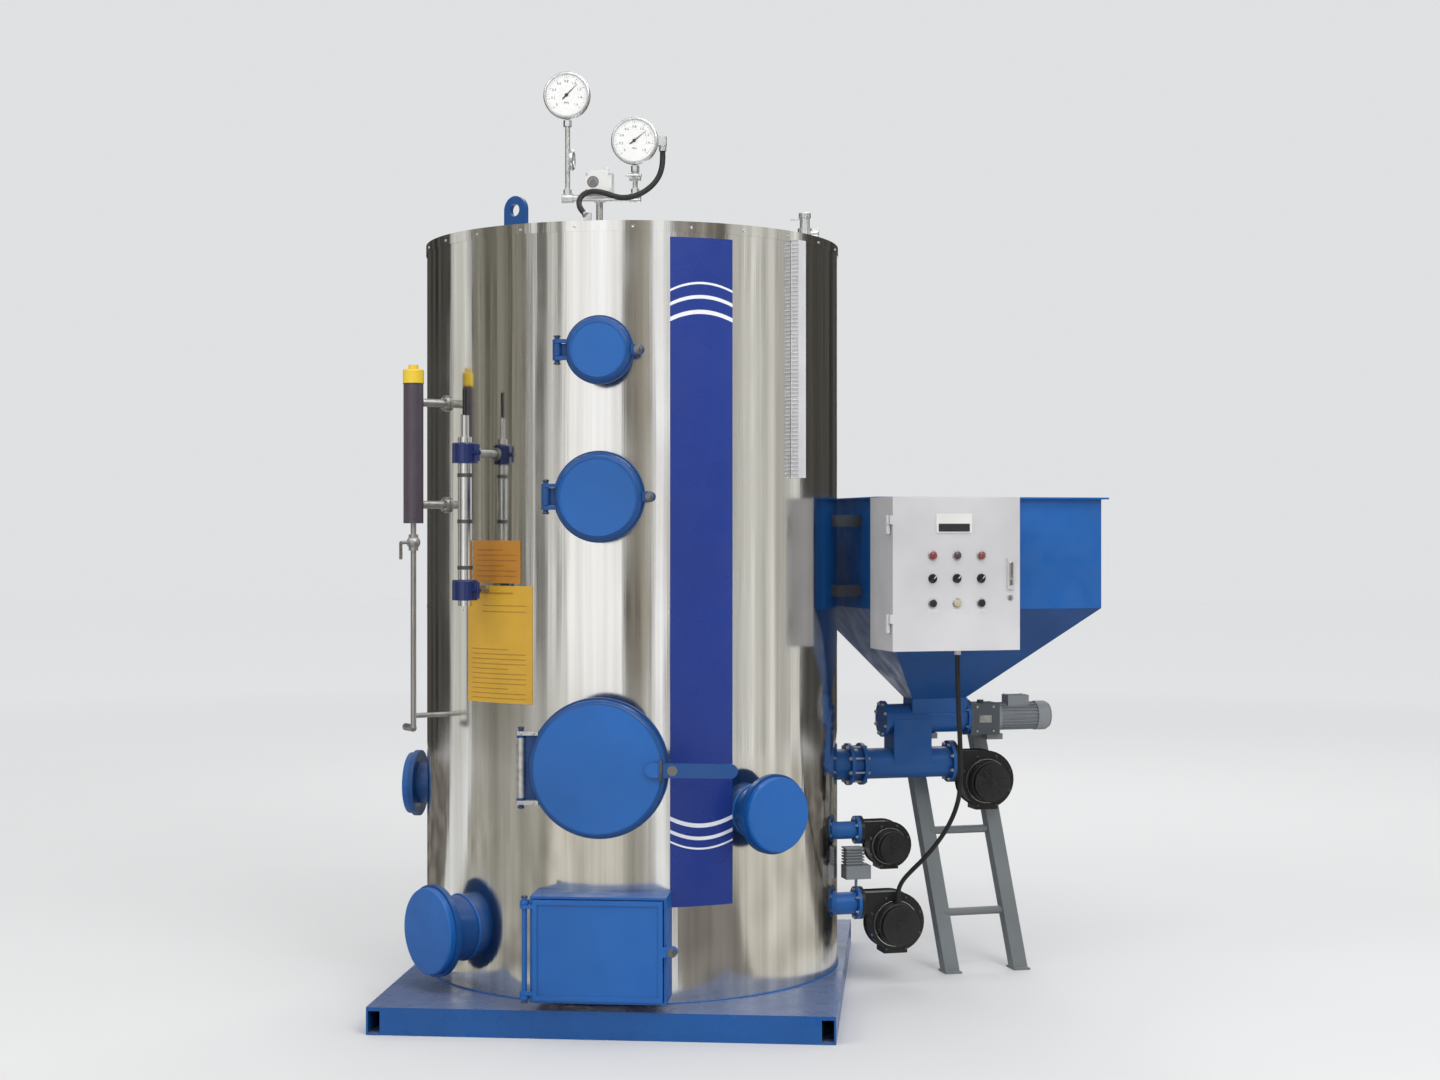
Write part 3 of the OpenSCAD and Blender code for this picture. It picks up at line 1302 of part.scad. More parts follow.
// Ladder-shaped stand: its rails lean, and brackets on top carry the trough and the gearbox
module trestle() color("#7d8489") feeder() {
    trough_seat = trough_z - trough_r - seat_gap;
    gearbox_seat = gearbox_bottom - seat_gap;
    clear = chute_x + chute_w + chute_gap;
    beside_chute = feed_r + chute_gap;
    edge = rail_top[1] + rail_w / 2 + bracket_end;
    far_x = rail_top[0] + rails_apart;
    intersection() {
        difference() {
            for (x = [0, rails_apart]) translate([x, 0, 0]) bar(rail_top, rail_foot, rail_w, rail_t);
            for (x = [0, rails_apart]) translate([x, 0, 0])
                bar(rail_top, rail_foot, rail_w - 2 * rail_wall, rail_t - 2 * rail_wall);
        }
        span([rail_top[0] - 2 * rail_w, -edge, foot_t - over],
            [far_x + 3 * rail_w, edge, gearbox_seat - over]);
    }
    for (i = [0, 1]) rod(rail_at(rung_z + i * rung_pitch) + [rail_t / 2 - over, 0, 0],
        rail_at(rung_z + i * rung_pitch) + [rails_apart - rail_t / 2 + over, 0, 0], rung_r);
    for (x = [0, rails_apart]) translate(rail_at(0) + [x, 0, 0])
        span([-rail_w / 2, -rail_w / 2 - foot_lip, 0], [rail_w / 2, rail_w / 2 + foot_lip, foot_t]);
    // The near bracket goes round the chute to the trough, the far one under the gearbox
    span([rail_top[0] - rail_t, beside_chute, trough_seat - bracket_t], [clear + rail_w / 2, edge, trough_seat]);
    span([clear, -trough_r / 2, trough_seat - bracket_t], [clear + rail_w / 2, beside_chute + over, trough_seat]);
    span([far_x - rail_w / 2, -gearbox_w / 3, gearbox_seat - bracket_t],
        [far_x + rail_w / 2, edge, gearbox_seat]);
}

/* Control cabinet */

cabinet_start = jacket_r + cabinet_off;
cabinet_end = cabinet_start + cabinet_w;
cabinet_back = -hopper_d / 2 - 30;
cabinet_front = cabinet_back - cabinet_d;
cabinet_top = cabinet_z + cabinet_h;
// Axis of the cabinet's hinges
hinge_u = cabinet_start - barrel_r - 1;
hinge_v = cabinet_front - 2;
hinge_zs = [cabinet_z + cabinet_hinge_l, cabinet_top - 2 * cabinet_hinge_l];
cabinet_gland = [cabinet_start + 270, cabinet_back - 100];

module cabinet_box() color(pale) feeder() difference() {
    union() {
        span([cabinet_start, cabinet_front, cabinet_z], [cabinet_end, cabinet_back, cabinet_top]);
        // Cable gland, and the fixed halves of the hinges
        post(cabinet_gland[0], cabinet_gland[1], cabinet_z - cable_gland_l, cabinet_z + cabinet_t,
            cable_r + gland_wall);
        for (z = hinge_zs) {
            post(hinge_u, hinge_v, z, z + cabinet_hinge_l / 2 - over, barrel_r);
            span([hinge_u, cabinet_front, z],
                [cabinet_start + over, cabinet_front + 2 * barrel_r, z + cabinet_hinge_l / 2 - over]);
        }
    }
    span([cabinet_start + cabinet_t, cabinet_front - over, cabinet_z + cabinet_t],
        [cabinet_end - cabinet_t, cabinet_back - cabinet_t, cabinet_top - cabinet_t]);
    for (z = hinge_zs) post(hinge_u, hinge_v, z - over, z + cabinet_hinge_l, cabinet_pin_r + pin_gap);
}

// Folded tray with its lock, and the hinges' moving halves with their pins
module cabinet_door() color(pale) feeder() {
    back = cabinet_front - seat_gap;
    face = back - cabinet_door_t;
    difference() {
        span([cabinet_start, face, cabinet_z], [cabinet_end, back, cabinet_top]);
        span([cabinet_start + cabinet_t, face + cabinet_t, cabinet_z + cabinet_t],
            [cabinet_end - cabinet_t, back + over, cabinet_top - cabinet_t]);
    }
    for (z = hinge_zs) {
        post(hinge_u, hinge_v, z + cabinet_hinge_l / 2, z + cabinet_hinge_l, barrel_r);
        post(hinge_u, hinge_v, z, z + cabinet_hinge_l, cabinet_pin_r);
        span([hinge_u, face, z + cabinet_hinge_l / 2], [cabinet_start + over, hinge_v, z + cabinet_hinge_l]);
    }
    span([cabinet_end - 46, face - 8, cabinet_z + cabinet_h / 2 - 50],
        [cabinet_end - 22, face + over, cabinet_z + cabinet_h / 2 + 50]);
}

/* Cords */

function unit(v) = v / norm(v);
function tangent(path, i) = unit(path[min(i + 1, len(path) - 1)] - path[max(i - 1, 0)]);
function side_axis(t, up) = unit(cross(t, up));

// Tube of radius r swept along a path, with up never parallel to it
module swept_tube(path, r, up, sides = 8) {
    n = len(path);
    points = [for (i = [0 : n - 1])
        let (t = tangent(path, i), s = side_axis(t, up), b = cross(s, t))
        for (k = [0 : sides - 1]) path[i] + r * (cos(k * 360 / sides) * s + sin(k * 360 / sides) * b)];
    skin = [for (i = [0 : n - 2]) for (k = [0 : sides - 1])
        [i * sides + k, i * sides + (k + 1) % sides, (i + 1) * sides + (k + 1) % sides, (i + 1) * sides + k]];
    start = [[for (k = [sides - 1 : -1 : 0]) k]];
    end = [[for (k = [0 : sides - 1]) (n - 1) * sides + k]];
    polyhedron(points, concat(skin, start, end), convexity = 6);
}

// From the right gauge's gland, under the controller and down to the cover's edge, measured along X and Y
// from the middle of the manifold and along Z from the cover
conduit_points = [
    [153, -3, 208], [146, -10, 180], [132, -21, 154], [112, -32, 132], [87, -41, 115], [60, -47, 105],
    [32, -51, 102], [5, -53, 107], [-20, -57, 115], [-44, -65, 120], [-66, -79, 118], [-82, -101, 108],
    [-91, -127, 92], [-92, -155, 72], [-85, -183, 53], [-74, -208, 38], [-63, -230, 26], [-57, -242, 20]];
conduit_start = [gland_x, -manifold_y, right_gauge[1] - 33];
conduit_path = concat([conduit_start, conduit_start - [0, 0, 22]],
    [for (p = conduit_points) p + [0, -manifold_y, cover_top]]);
// Its last two points, the very end first
conduit_end = [for (i = [1, 2]) conduit_path[len(conduit_path) - i]];
module gauge_conduit() color(black) swept_tube(conduit_path, conduit_r, [0.2, 1, 0.1]);

cable_r = 8;
cable_gland_l = 20;
// Where the cable's straight start ends, below the cabinet
cable_straight_l = 76;
// Height at which the cable meets the blower motor's gland
cable_end_z = 300;
// Points in the feeder's own axes, from the cabinet's gland down to the lower blower's
cable_points = [
    [984, -530, 1024], [987, -528, 950], [994, -520, 870], [1002, -506, 790], [1009, -487, 716],
    [1010, -462, 652], [1001, -432, 592], [983, -400, 536], [958, -367, 484], [930, -335, 438],
    [905, -307, 402], [885, -284, 370], [874, -270, 344]];
cable_path = concat(
    [for (drop = [cable_gland_l, cable_straight_l]) [cabinet_gland[0], cabinet_gland[1], cabinet_z - drop]],
    cable_points, [[motor_gland[0], motor_gland[1], 322], [motor_gland[0], motor_gland[1], cable_end_z]]);
module blower_cable() color(black) feeder() swept_tube(cable_path, cable_r, [0.1, 1, 0]);

base_side_rails();
base_cross_rails();
base_deck();
jacket_front_lower();
jacket_front_upper();
jacket_left();
jacket_right();
top_cover();
furnace_front();
furnace_jambs();
furnace_sill();
furnace_left();
furnace_right();
flue_front();
flue_back();
furnace_plates();
grate_ring();
fire_grate();
upper_neck();
upper_door();
middle_neck();
middle_door();
fire_neck();
fire_door();
fire_door_lining();
ash_box();
ash_door();
hand_hole_necks();
hand_hole_covers();
level_column();
level_gauge();
level_pipework();
flue_outlet();
steam_outlet();
safety_valve();
lifting_lugs();
gauge_manifold();
pressure_gauges();
pressure_controller();
gauge_conduit();
feed_tube();
screw_trough();
trough_neck();
feed_screw();
gear_motor();
feed_blower();
air_blowers();
air_stubs();
damper_drive();
hopper_bin();
hopper_cone();
hopper_brackets();
trestle();
cabinet_box();
cabinet_door();
blower_cable();
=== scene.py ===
# %% [markdown]
# # An upright steam boiler, dressed over its CAD frame
#
# The boiler is a tall drum in a mirror-steel jacket. It stands on a blue channel base, has hinged doors on
# its front, gauges on top, and a pellet feeder with its hopper, blowers and control cabinet on the right.
# The CAD model gives every rigid shape. This script loads it as a fixed frame, gives each part its finish,
# and adds the trim that is too fine for the CAD: dials, bolts, plates, lamps and welds. All lengths are in
# metres.

# %% Load the frame
import math
from contextlib import contextmanager

import bmesh
import bpy
from mathutils import Matrix, Vector


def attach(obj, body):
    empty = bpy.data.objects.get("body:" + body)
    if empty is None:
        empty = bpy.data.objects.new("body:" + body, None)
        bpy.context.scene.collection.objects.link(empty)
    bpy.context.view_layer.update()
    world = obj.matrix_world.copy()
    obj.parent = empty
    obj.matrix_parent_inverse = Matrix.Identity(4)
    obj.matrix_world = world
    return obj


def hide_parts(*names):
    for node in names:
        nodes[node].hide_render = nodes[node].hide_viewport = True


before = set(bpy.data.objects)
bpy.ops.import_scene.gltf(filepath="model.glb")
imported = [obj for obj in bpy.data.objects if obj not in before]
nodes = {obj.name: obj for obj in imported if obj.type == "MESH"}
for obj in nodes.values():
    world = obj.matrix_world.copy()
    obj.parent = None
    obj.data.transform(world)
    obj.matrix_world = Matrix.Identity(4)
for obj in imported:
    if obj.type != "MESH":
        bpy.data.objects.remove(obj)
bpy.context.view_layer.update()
bpy.context.scene.view_settings.view_transform = "Standard"

# %% [markdown]
# ## Camera
#
# The photograph was taken at eye height, a little to the right of the boiler's front. The camera stands at
# that same spot and looks level, so that upright edges stay upright. A long lens lets the boiler fill the
# picture without any change to its perspective, which depends only on where the camera stands.

# %% Camera
EYE = Vector((0.946, -7.155, 1.554))
AIM = Vector((0.30, 0.0, 1.554))
LENS = 52.5
SHIFT_UP = -0.006


def placed(name, data):
    """A new object in the scene that shows some data."""
    thing = bpy.data.objects.new(name, data)
    bpy.context.scene.collection.objects.link(thing)
    return thing


def aimed(name, data, place, target):
    """A camera or a lamp at a place, turned to look at a target."""
    thing = placed(name, data)
    thing.location = place
    thing.rotation_euler = (Vector(target) - Vector(place)).to_track_quat("-Z", "Y").to_euler()
    return thing


camera_data = bpy.data.cameras.new("camera")
camera_data.lens = LENS
camera_data.shift_y = SHIFT_UP
bpy.context.scene.camera = aimed("camera", camera_data, EYE, AIM)
print("camera looks", [round(v, 3) for v in (AIM - EYE).normalized()])

# %% [markdown]
# ## Places that the CAD fixes
#
# Many pieces of trim sit on the CAD parts, so the script needs a few of their sizes. The feeder stands
# askew, turned about the boiler's axis. Its pieces are made square to the axes first and then turned with
# it. What sits on the round jacket is placed by its azimuth, in degrees from the front.

# %% Sizes and small helpers for places
FEEDER_DEGREES = 20
FEEDER_TURN = math.radians(FEEDER_DEGREES)
JACKET_R = 0.700
DECK_Z = 0.086
SEAM_Z = 1.301
FEED_Z = 0.733
TROUGH_Z = 0.890


def along_feeder(u, v, z):
    """A point given in the feeder's own axes."""
    cos_t, sin_t = math.cos(FEEDER_TURN), math.sin(FEEDER_TURN)
    return Vector((u * cos_t - v * sin_t, u * sin_t + v * cos_t, z))


print("the hopper's outlet is at", [round(v, 3) for v in along_feeder(1.1, 0.0, TROUGH_Z)])

# %% [markdown]
# ## Cords
#
# Two cords lie free on the real boiler: the spiral conduit from the right gauge down to the top cover, and
# the cable from the cabinet to the lower blower. Each follows the route that its CAD solid takes. A curve
# is the natural tool, because its line is the cord's own middle and its bevel the cord's thickness. The
# bevel is half a metre deep and each point scales it by the cord's diameter, which keeps the curve's own
# box tight. Points are added between the route's own by a Catmull-Rom spline, so that no corner shows.

# %% Cord routes
CONDUIT_D = 0.018
CABLE_D = 0.016
CORD_BEVEL = 0.5
conduit_route = [
    (0.155, -0.445, 2.776), (0.155, -0.445, 2.754), (0.153, -0.448, 2.727), (0.146, -0.455, 2.699),
    (0.132, -0.466, 2.673), (0.112, -0.477, 2.651), (0.087, -0.486, 2.634), (0.060, -0.492, 2.624),
    (0.032, -0.496, 2.621), (0.005, -0.498, 2.626), (-0.020, -0.502, 2.634), (-0.044, -0.510, 2.639),
    (-0.066, -0.524, 2.637), (-0.082, -0.546, 2.627), (-0.091, -0.572, 2.611), (-0.092, -0.600, 2.591),
    (-0.085, -0.628, 2.572), (-0.074, -0.653, 2.557), (-0.063, -0.675, 2.545), (-0.057, -0.687, 2.539),
]
# In the feeder's own axes
cable_route = [
    (0.982, -0.530, 1.146), (0.982, -0.530, 1.090), (0.984, -0.530, 1.024), (0.987, -0.528, 0.950),
    (0.994, -0.520, 0.870), (1.002, -0.506, 0.790), (1.009, -0.487, 0.716), (1.010, -0.462, 0.652),
    (1.001, -0.432, 0.592), (0.983, -0.400, 0.536), (0.958, -0.367, 0.484), (0.930, -0.335, 0.438),
    (0.905, -0.307, 0.402), (0.885, -0.284, 0.370), (0.874, -0.270, 0.344), (0.8693, -0.2655, 0.322),
    (0.8693, -0.2655, 0.300),
]


def smooth_route(points, steps=4):
    """Points of a Catmull-Rom spline through all the given ones."""
    ends = [points[0] * 2 - points[1], *points, points[-1] * 2 - points[-2]]
    smooth = []
    for p0, p1, p2, p3 in zip(ends, ends[1:], ends[2:], ends[3:]):
        for step in range(steps):
            t = step / steps
            smooth.append(0.5 * (2 * p1 + (p2 - p0) * t + (2 * p0 - 5 * p1 + 4 * p2 - p3) * t**2
                                 + (3 * p1 - p0 - 3 * p2 + p3) * t**3))
    return [*smooth, points[-1]]


def round_line(name, points, bevel, resolution):
    """Curve with straight spans through points and a round bevel."""
    curve = bpy.data.curves.new(name, "CURVE")
    curve.dimensions = "3D"
    curve.bevel_depth = bevel
    curve.bevel_resolution = resolution
    spline = curve.splines.new("POLY")
    spline.points.add(len(points) - 1)
    for point, place in zip(spline.points, points):
        point.co = (*place, 1.0)
    return placed(name, curve)


def cord_piece(name, route, diameter, node):
    """A round cord along a route, in place of its CAD solid."""
    piece = round_line(name, route, CORD_BEVEL, 3)
    piece.data.use_fill_caps = True
    for point in piece.data.splines[0].points:
        point.radius = diameter
    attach(piece, "boiler")
    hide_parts(node)
    return piece


conduit_line = smooth_route([Vector(p) for p in conduit_route])
cable_line = smooth_route([along_feeder(*p) for p in cable_route])
conduit = cord_piece("spiral_conduit", conduit_line, CONDUIT_D, "gauge_conduit")
cable = cord_piece("blower_lead", cable_line, CABLE_D, "blower_cable")

# %% [markdown]
# ## Finishes
#
# Each finish is a small graph of nodes on the Principled shader. The graphs share three ideas. Soft noise
# shifts the colour between two close tones, as dust and handling do. A stretched noise gives brushed or
# rolled grain. A fine bump breaks up the highlights. All read Object coordinates, which stay with the
# piece, so nothing slides when the camera moves.

# %% Helpers for finishes
def feed(tree, socket, value):
    """Links a socket to another one's output, or gives it a value. A colour has three numbers."""
    if isinstance(value, bpy.types.NodeSocket):
        tree.links.new(value, socket)
    elif socket.type == "RGBA":
        socket.default_value = (*value, 1.0)
    else:
        socket.default_value = value


def add_node(tree, kind, inputs, **settings):
    """A shader node with its settings, each of its inputs linked to a socket or given a value."""
    node = tree.nodes.new("ShaderNode" + kind)
    for key, value in settings.items():
        setattr(node, key, value)
    for key, value in inputs.items():
        feed(tree, node.inputs[key], value)
    return node


def maths(tree, operation, *values, **settings):
    """Result of one step of arithmetic on sockets or numbers."""
    return add_node(tree, "Math", dict(enumerate(values)), operation=operation, **settings).outputs["Value"]


def mix_of(tree, factor, first, second, data_type="RGBA", **settings):
    """Mix of two colours, or of two numbers."""
    inputs = {"Factor": factor, "A": first, "B": second}
    return add_node(tree, "Mix", inputs, data_type=data_type, **settings).outputs["Result"]


def object_place(tree):
    """Object coordinates of the point that is shaded."""
    return add_node(tree, "TexCoord", {}).outputs["Object"]


def part_of(tree, vector, axis):
    """One of a vector's three numbers."""
    return add_node(tree, "SeparateXYZ", {"Vector": vector}).outputs[axis]


def length_of(tree, vector):
    """Length of a vector."""
    return add_node(tree, "VectorMath", {0: vector}, operation="LENGTH").outputs["Value"]


def new_finish(name, metallic=0.0, roughness=0.5, specular=0.5):
    """An empty finish with its Principled shader."""
    finish = bpy.data.materials.new(name)
    finish.use_nodes = True
    shader = finish.node_tree.nodes["Principled BSDF"]
    shader.inputs["Metallic"].default_value = metallic
    shader.inputs["Roughness"].default_value = roughness
    shader.inputs["Specular IOR Level"].default_value = specular
    return finish, finish.node_tree, shader


def noise_of(tree, scale, stretch=(1, 1, 1), detail=3.0):
    """Noise from 0 to 1 over the piece, squeezed along each axis by stretch."""
    mapping = add_node(tree, "Mapping", {"Vector": object_place(tree), "Scale": stretch})
    inputs = {"Vector": mapping.outputs["Vector"], "Scale": scale, "Detail": detail}
    return add_node(tree, "TexNoise", inputs).outputs["Fac"]


def between(tree, factor, low, high, start=0.3, end=0.7):
    """Two values or colours, mixed by a factor through a soft ramp."""
    ramp = add_node(tree, "ValToRGB", {"Fac": factor})
    for element, position, value in zip(ramp.color_ramp.elements, (start, end), (low, high)):
        element.position = position
        element.color = (*value, 1.0) if isinstance(value, tuple) else (value, value, value, 1.0)
    return ramp.outputs["Color"]


def shade(tree, shader, factor, socket, low, high, start=0.3, end=0.7):
    """Drives one of the shader's sockets between two values."""
    feed(tree, shader.inputs[socket], between(tree, factor, low, high, start, end))


def bump(tree, shader, height, distance, strength=1.0, edge=0.0):
    """Bumps of that height in metres, on edges that are rounded by edge."""
    inputs = {"Height": height, "Distance": distance, "Strength": strength}
    if edge:
        inputs["Normal"] = add_node(tree, "Bevel", {"Radius": edge}, samples=4).outputs["Normal"]
    node = add_node(tree, "Bump", inputs)
    feed(tree, shader.inputs["Normal"], node.outputs["Normal"])
    return node


def toned(colour, share):
    """A colour made darker or paler by a share."""
    return tuple(min(1.0, c * share) for c in colour)


# %% [markdown]
# ### Enamel, plastic and rubber
#
# Enamel is even in colour, a little glossy, with an orange-peel surface and edges that catch the light. The
# doors, the base and the feeder wear one blue, which the photograph shows deeper where a part lies in
# shade, so the blue has three tones here. Dust makes level surfaces paler: it is mixed in by how far the
# normal points up.

# %% Painted finishes
EDGE_WEAR = 0.0015
DUST_TONE = (0.45, 0.43, 0.40)


def enamel(name, colour, roughness=0.35, dust=0.10, peel=0.00012):
    """Gloss paint with orange peel, soft tone shifts and a film of dust on top."""
    finish, tree, shader = new_finish(name, roughness=roughness, specular=0.4)
    tone = between(tree, noise_of(tree, 3.0), toned(colour, 0.86), toned(colour, 1.10))
    normal = add_node(tree, "NewGeometry", {}).outputs["Normal"]
    up = between(tree, part_of(tree, normal, "Z"), 0.0, dust, 0.5, 0.95)
    feed(tree, shader.inputs["Base Color"], mix_of(tree, up, tone, DUST_TONE))
    rough = min(1.0, roughness * 1.5)
    shade(tree, shader, noise_of(tree, 14.0, detail=5.0), "Roughness", roughness * 0.8, rough)
    bump(tree, shader, noise_of(tree, 260.0), peel, edge=EDGE_WEAR)
    return finish


# One blue paint. The half-shaded and shaded blues are that paint with painted shade, for parts that lie in
# shade.
BLUE = (0.004, 0.105, 0.385)
HALF_SHADED_BLUE = (0.004, 0.084, 0.305)
SHADED_BLUE = (0.004, 0.062, 0.230)
blue_enamel = enamel("blue_enamel", BLUE)
shaded_enamel = enamel("shaded_blue_enamel", SHADED_BLUE)
feeder_shaded_enamel = enamel("feeder_shaded_enamel", HALF_SHADED_BLUE)
# The base's half-shaded blue is partly painted shade and partly dirt. Its dust is paler on top.
base_shade_and_dirt_enamel = enamel("base_shade_and_dirt_enamel", HALF_SHADED_BLUE, roughness=0.26, dust=0.30)
black_enamel = enamel("black_enamel", (0.016, 0.016, 0.018), roughness=0.30, dust=0.06)
dark_enamel = enamel("dark_enamel", (0.045, 0.052, 0.060), roughness=0.45)
motor_enamel = enamel("motor_enamel", (0.22, 0.24, 0.26), roughness=0.42)
stand_enamel = enamel("stand_enamel", (0.17, 0.19, 0.20), roughness=0.50, dust=0.25)
cabinet_enamel = enamel("cabinet_enamel", (0.57, 0.56, 0.575), roughness=0.40, dust=0.04, peel=0.00008)


def moulded(name, colour, roughness=0.45, grain=0.00006):
    """Plastic or rubber with a fine moulded grain."""
    finish, tree, shader = new_finish(name, roughness=roughness)
    shade(tree, shader, noise_of(tree, 9.0), "Base Color", toned(colour, 0.88), colour)
    rough = min(1.0, roughness * 1.3)
    shade(tree, shader, noise_of(tree, 22.0, detail=4.0), "Roughness", roughness * 0.85, rough)
    bump(tree, shader, noise_of(tree, 420.0), grain)
    return finish


PRINT_GRAIN = 0.00001
pale_plastic = moulded("pale_plastic", (0.72, 0.72, 0.69))
black_plastic = moulded("black_plastic", (0.018, 0.018, 0.019), 0.35)
black_rubber = moulded("black_rubber", (0.011, 0.011, 0.012), 0.55, 0.0002)
dial_white = moulded("dial_white", (0.84, 0.84, 0.82), 0.5, PRINT_GRAIN)
mark_black = moulded("mark_black", (0.012, 0.012, 0.012), 0.5, PRINT_GRAIN)
mark_red = moulded("mark_red", (0.55, 0.016, 0.012), 0.4, PRINT_GRAIN)
lamp_red = moulded("lamp_red", (0.26, 0.045, 0.055), 0.15, PRINT_GRAIN)
print("paints and plastics:", ", ".join(m.name for m in bpy.data.materials if m.users == 0))

# %% [markdown]
# ### Metals
#
# The jacket is polished stainless sheet, rolled round the drum. It mirrors the room, and the rolling leaves
# faint upright waves that draw each reflection out into streaks. The waves are a noise squeezed hard along
# Z, used as a bump and, weakly, as a change of tone. Plain steel and iron differ from it in tone, roughness
# and the direction of their grain.

# %% Metal finishes
def mirror_sheet(name):
    """Polished sheet whose reflections run in upright streaks."""
    finish, tree, shader = new_finish(name, metallic=1.0, roughness=0.10)
    wide = noise_of(tree, 3.4, (1, 1, 0.035), 2.0)
    fine = noise_of(tree, 24.0, (1, 1, 0.012), 4.0)
    tint = between(tree, fine, (0.66, 0.65, 0.62), (0.93, 0.93, 0.92), 0.25, 0.62)
    broad = between(tree, wide, (0.86, 0.85, 0.82), (1.0, 1.0, 1.0), 0.35, 0.60)
    feed(tree, shader.inputs["Base Color"], mix_of(tree, 1.0, tint, broad, blend_type="MULTIPLY"))
    shade(tree, shader, noise_of(tree, 2.0), "Roughness", 0.07, 0.20)
    wave = maths(tree, "ADD", wide, between(tree, fine, 0.0, 0.10, 0.2, 0.8))
    buckle = add_node(tree, "Bump", {"Height": noise_of(tree, 2.6, (1, 1, 0.55), 1.0), "Distance": 0.0035})
    streaks = bump(tree, shader, wave, 0.008, 0.5)
    feed(tree, streaks.inputs["Normal"], buckle.outputs["Normal"])
    return finish


def steel(name, tone, roughness=0.3, grain=(1, 1, 1), scale=40.0, depth=0.00005):
    """Bare metal with a grain along one axis."""
    finish, tree, shader = new_finish(name, metallic=1.0, roughness=roughness)
    shade(tree, shader, noise_of(tree, scale, grain, 5.0), "Base Color", toned(tone, 0.72), tone)
    rough = min(1.0, roughness * 1.6)
    shade(tree, shader, noise_of(tree, 12.0, detail=4.0), "Roughness", roughness * 0.75, rough)
    bump(tree, shader, noise_of(tree, scale * 4, grain), depth, edge=0.0008)
    return finish


def rough_iron(name, colour, grain=0.0006, metallic=0.25, scale=90.0):
    """Cast or scaled metal, dark and grainy, browner in patches."""
    finish, tree, shader = new_finish(name, metallic=metallic, roughness=0.75)
    rusty = (colour[0] * 1.9, colour[1] * 1.25, colour[2] * 0.8)
    shade(tree, shader, noise_of(tree, 7.0, detail=6.0), "Base Color", colour, rusty, 0.42, 0.68)
    shade(tree, shader, noise_of(tree, 30.0), "Roughness", 0.6, 0.95)
    bump(tree, shader, noise_of(tree, scale, detail=6.0), grain)
    return finish


jacket_steel = mirror_sheet("mirror_jacket")
pipe_steel = steel("pipe_steel", (0.52, 0.52, 0.51), 0.32, (1, 1, 0.2))
chrome = steel("chrome", (0.80, 0.80, 0.79), 0.10, (1, 1, 0.1), depth=0.00001)
zinc = steel("zinc_plate", (0.74, 0.75, 0.75), 0.28, scale=60.0)
dark_steel = steel("dark_steel", (0.17, 0.17, 0.175), 0.38)
furnace_steel = rough_iron("furnace_steel", (0.065, 0.056, 0.050))
grate_iron = rough_iron("grate_iron", (0.070, 0.052, 0.042), 0.0010)
fire_lining = rough_iron("fire_lining", (0.30, 0.26, 0.20), 0.0016, 0.0, 60.0)
print(len(bpy.data.materials), "finishes so far")

# %% [markdown]
# ### Glass
#
# The gauge glasses are thin clear discs. Full transmission with almost no roughness is all that they need.
# The display on the cabinet lies behind dark, smoked glass.

# %% Glass finishes
def clear_glass(name, tint, roughness=0.02):
    """Clear or tinted glass with a few faint smears."""
    finish, tree, shader = new_finish(name, roughness=roughness)
    feed(tree, shader.inputs["Base Color"], tint)
    shader.inputs["Transmission Weight"].default_value = 1.0
    shader.inputs["IOR"].default_value = 1.45
    shade(tree, shader, noise_of(tree, 18.0), "Roughness", roughness, roughness * 3)
    return finish


gauge_glass = clear_glass("gauge_glass", (0.97, 0.98, 0.98))
smoked_glass = clear_glass("smoked_glass", (0.10, 0.11, 0.12), 0.04)
print("glass:", gauge_glass.name, "and", smoked_glass.name)

# %% [markdown]
# ## Finishes of the CAD parts
#
# Every part that the CAD gives keeps its shape and takes one finish. The table is easier to read by finish
# than by part, because many parts share a paint. The boiler's own doors, the gear motor, the level column
# and the level gauge are not in it, because their finishes change from place to place and are made later.

# %% Finishes of the CAD parts
dressed = {
    blue_enamel: "ash_box hand_hole_covers air_stubs hopper_bin",
    # Painted shade: parts in shade take the darker blues. The necks, cone, outlets and lugs take the darkest,
    # the feeder and base the middle one.
    shaded_enamel: """upper_neck middle_neck fire_neck hand_hole_necks hopper_cone flue_outlet steam_outlet
        lifting_lugs""",
    feeder_shaded_enamel: "feed_tube screw_trough trough_neck",
    base_shade_and_dirt_enamel: "base_side_rails base_cross_rails base_deck",
    jacket_steel: "jacket_front_lower jacket_front_upper jacket_left jacket_right top_cover",
    furnace_steel: """furnace_front furnace_jambs furnace_sill furnace_left furnace_right flue_front flue_back
        furnace_plates grate_ring""",
    grate_iron: "fire_grate",
    fire_lining: "fire_door_lining",
    pipe_steel: "level_pipework feed_screw",
    zinc: "pressure_gauges gauge_manifold safety_valve",
    pale_plastic: "pressure_controller",
    motor_enamel: "damper_drive",
    black_enamel: "feed_blower air_blowers",
    dark_enamel: "hopper_brackets",
    stand_enamel: "trestle",
    cabinet_enamel: "cabinet_box cabinet_door",
    black_rubber: "gauge_conduit blower_cable",
}


def painted(piece, finish):
    """Gives a piece one finish in place of any that it has."""
    piece.data.materials.clear()
    piece.data.materials.append(finish)
    return piece


for finish, names in dressed.items():
    for name in names.split():
        painted(nodes[name], finish)
for cord in (conduit, cable):
    painted(cord, black_rubber)
named = " ".join(dressed.values()).split()
print("parts that take their finish further on:", ", ".join(name for name in nodes if name not in named))

# %% [markdown]
# ## Tools for the trim
#
# Trim is built with Blender's own modelling operations: a primitive is set at its size and place, its faces
# are picked by where they point, and inset, extruded or bevelled. Each finished piece keeps its place in
# its mesh and its object at the origin. Repeated pieces are modelled once and copied. These few helpers
# hold the picking, turning, copying and finishing that every piece needs.

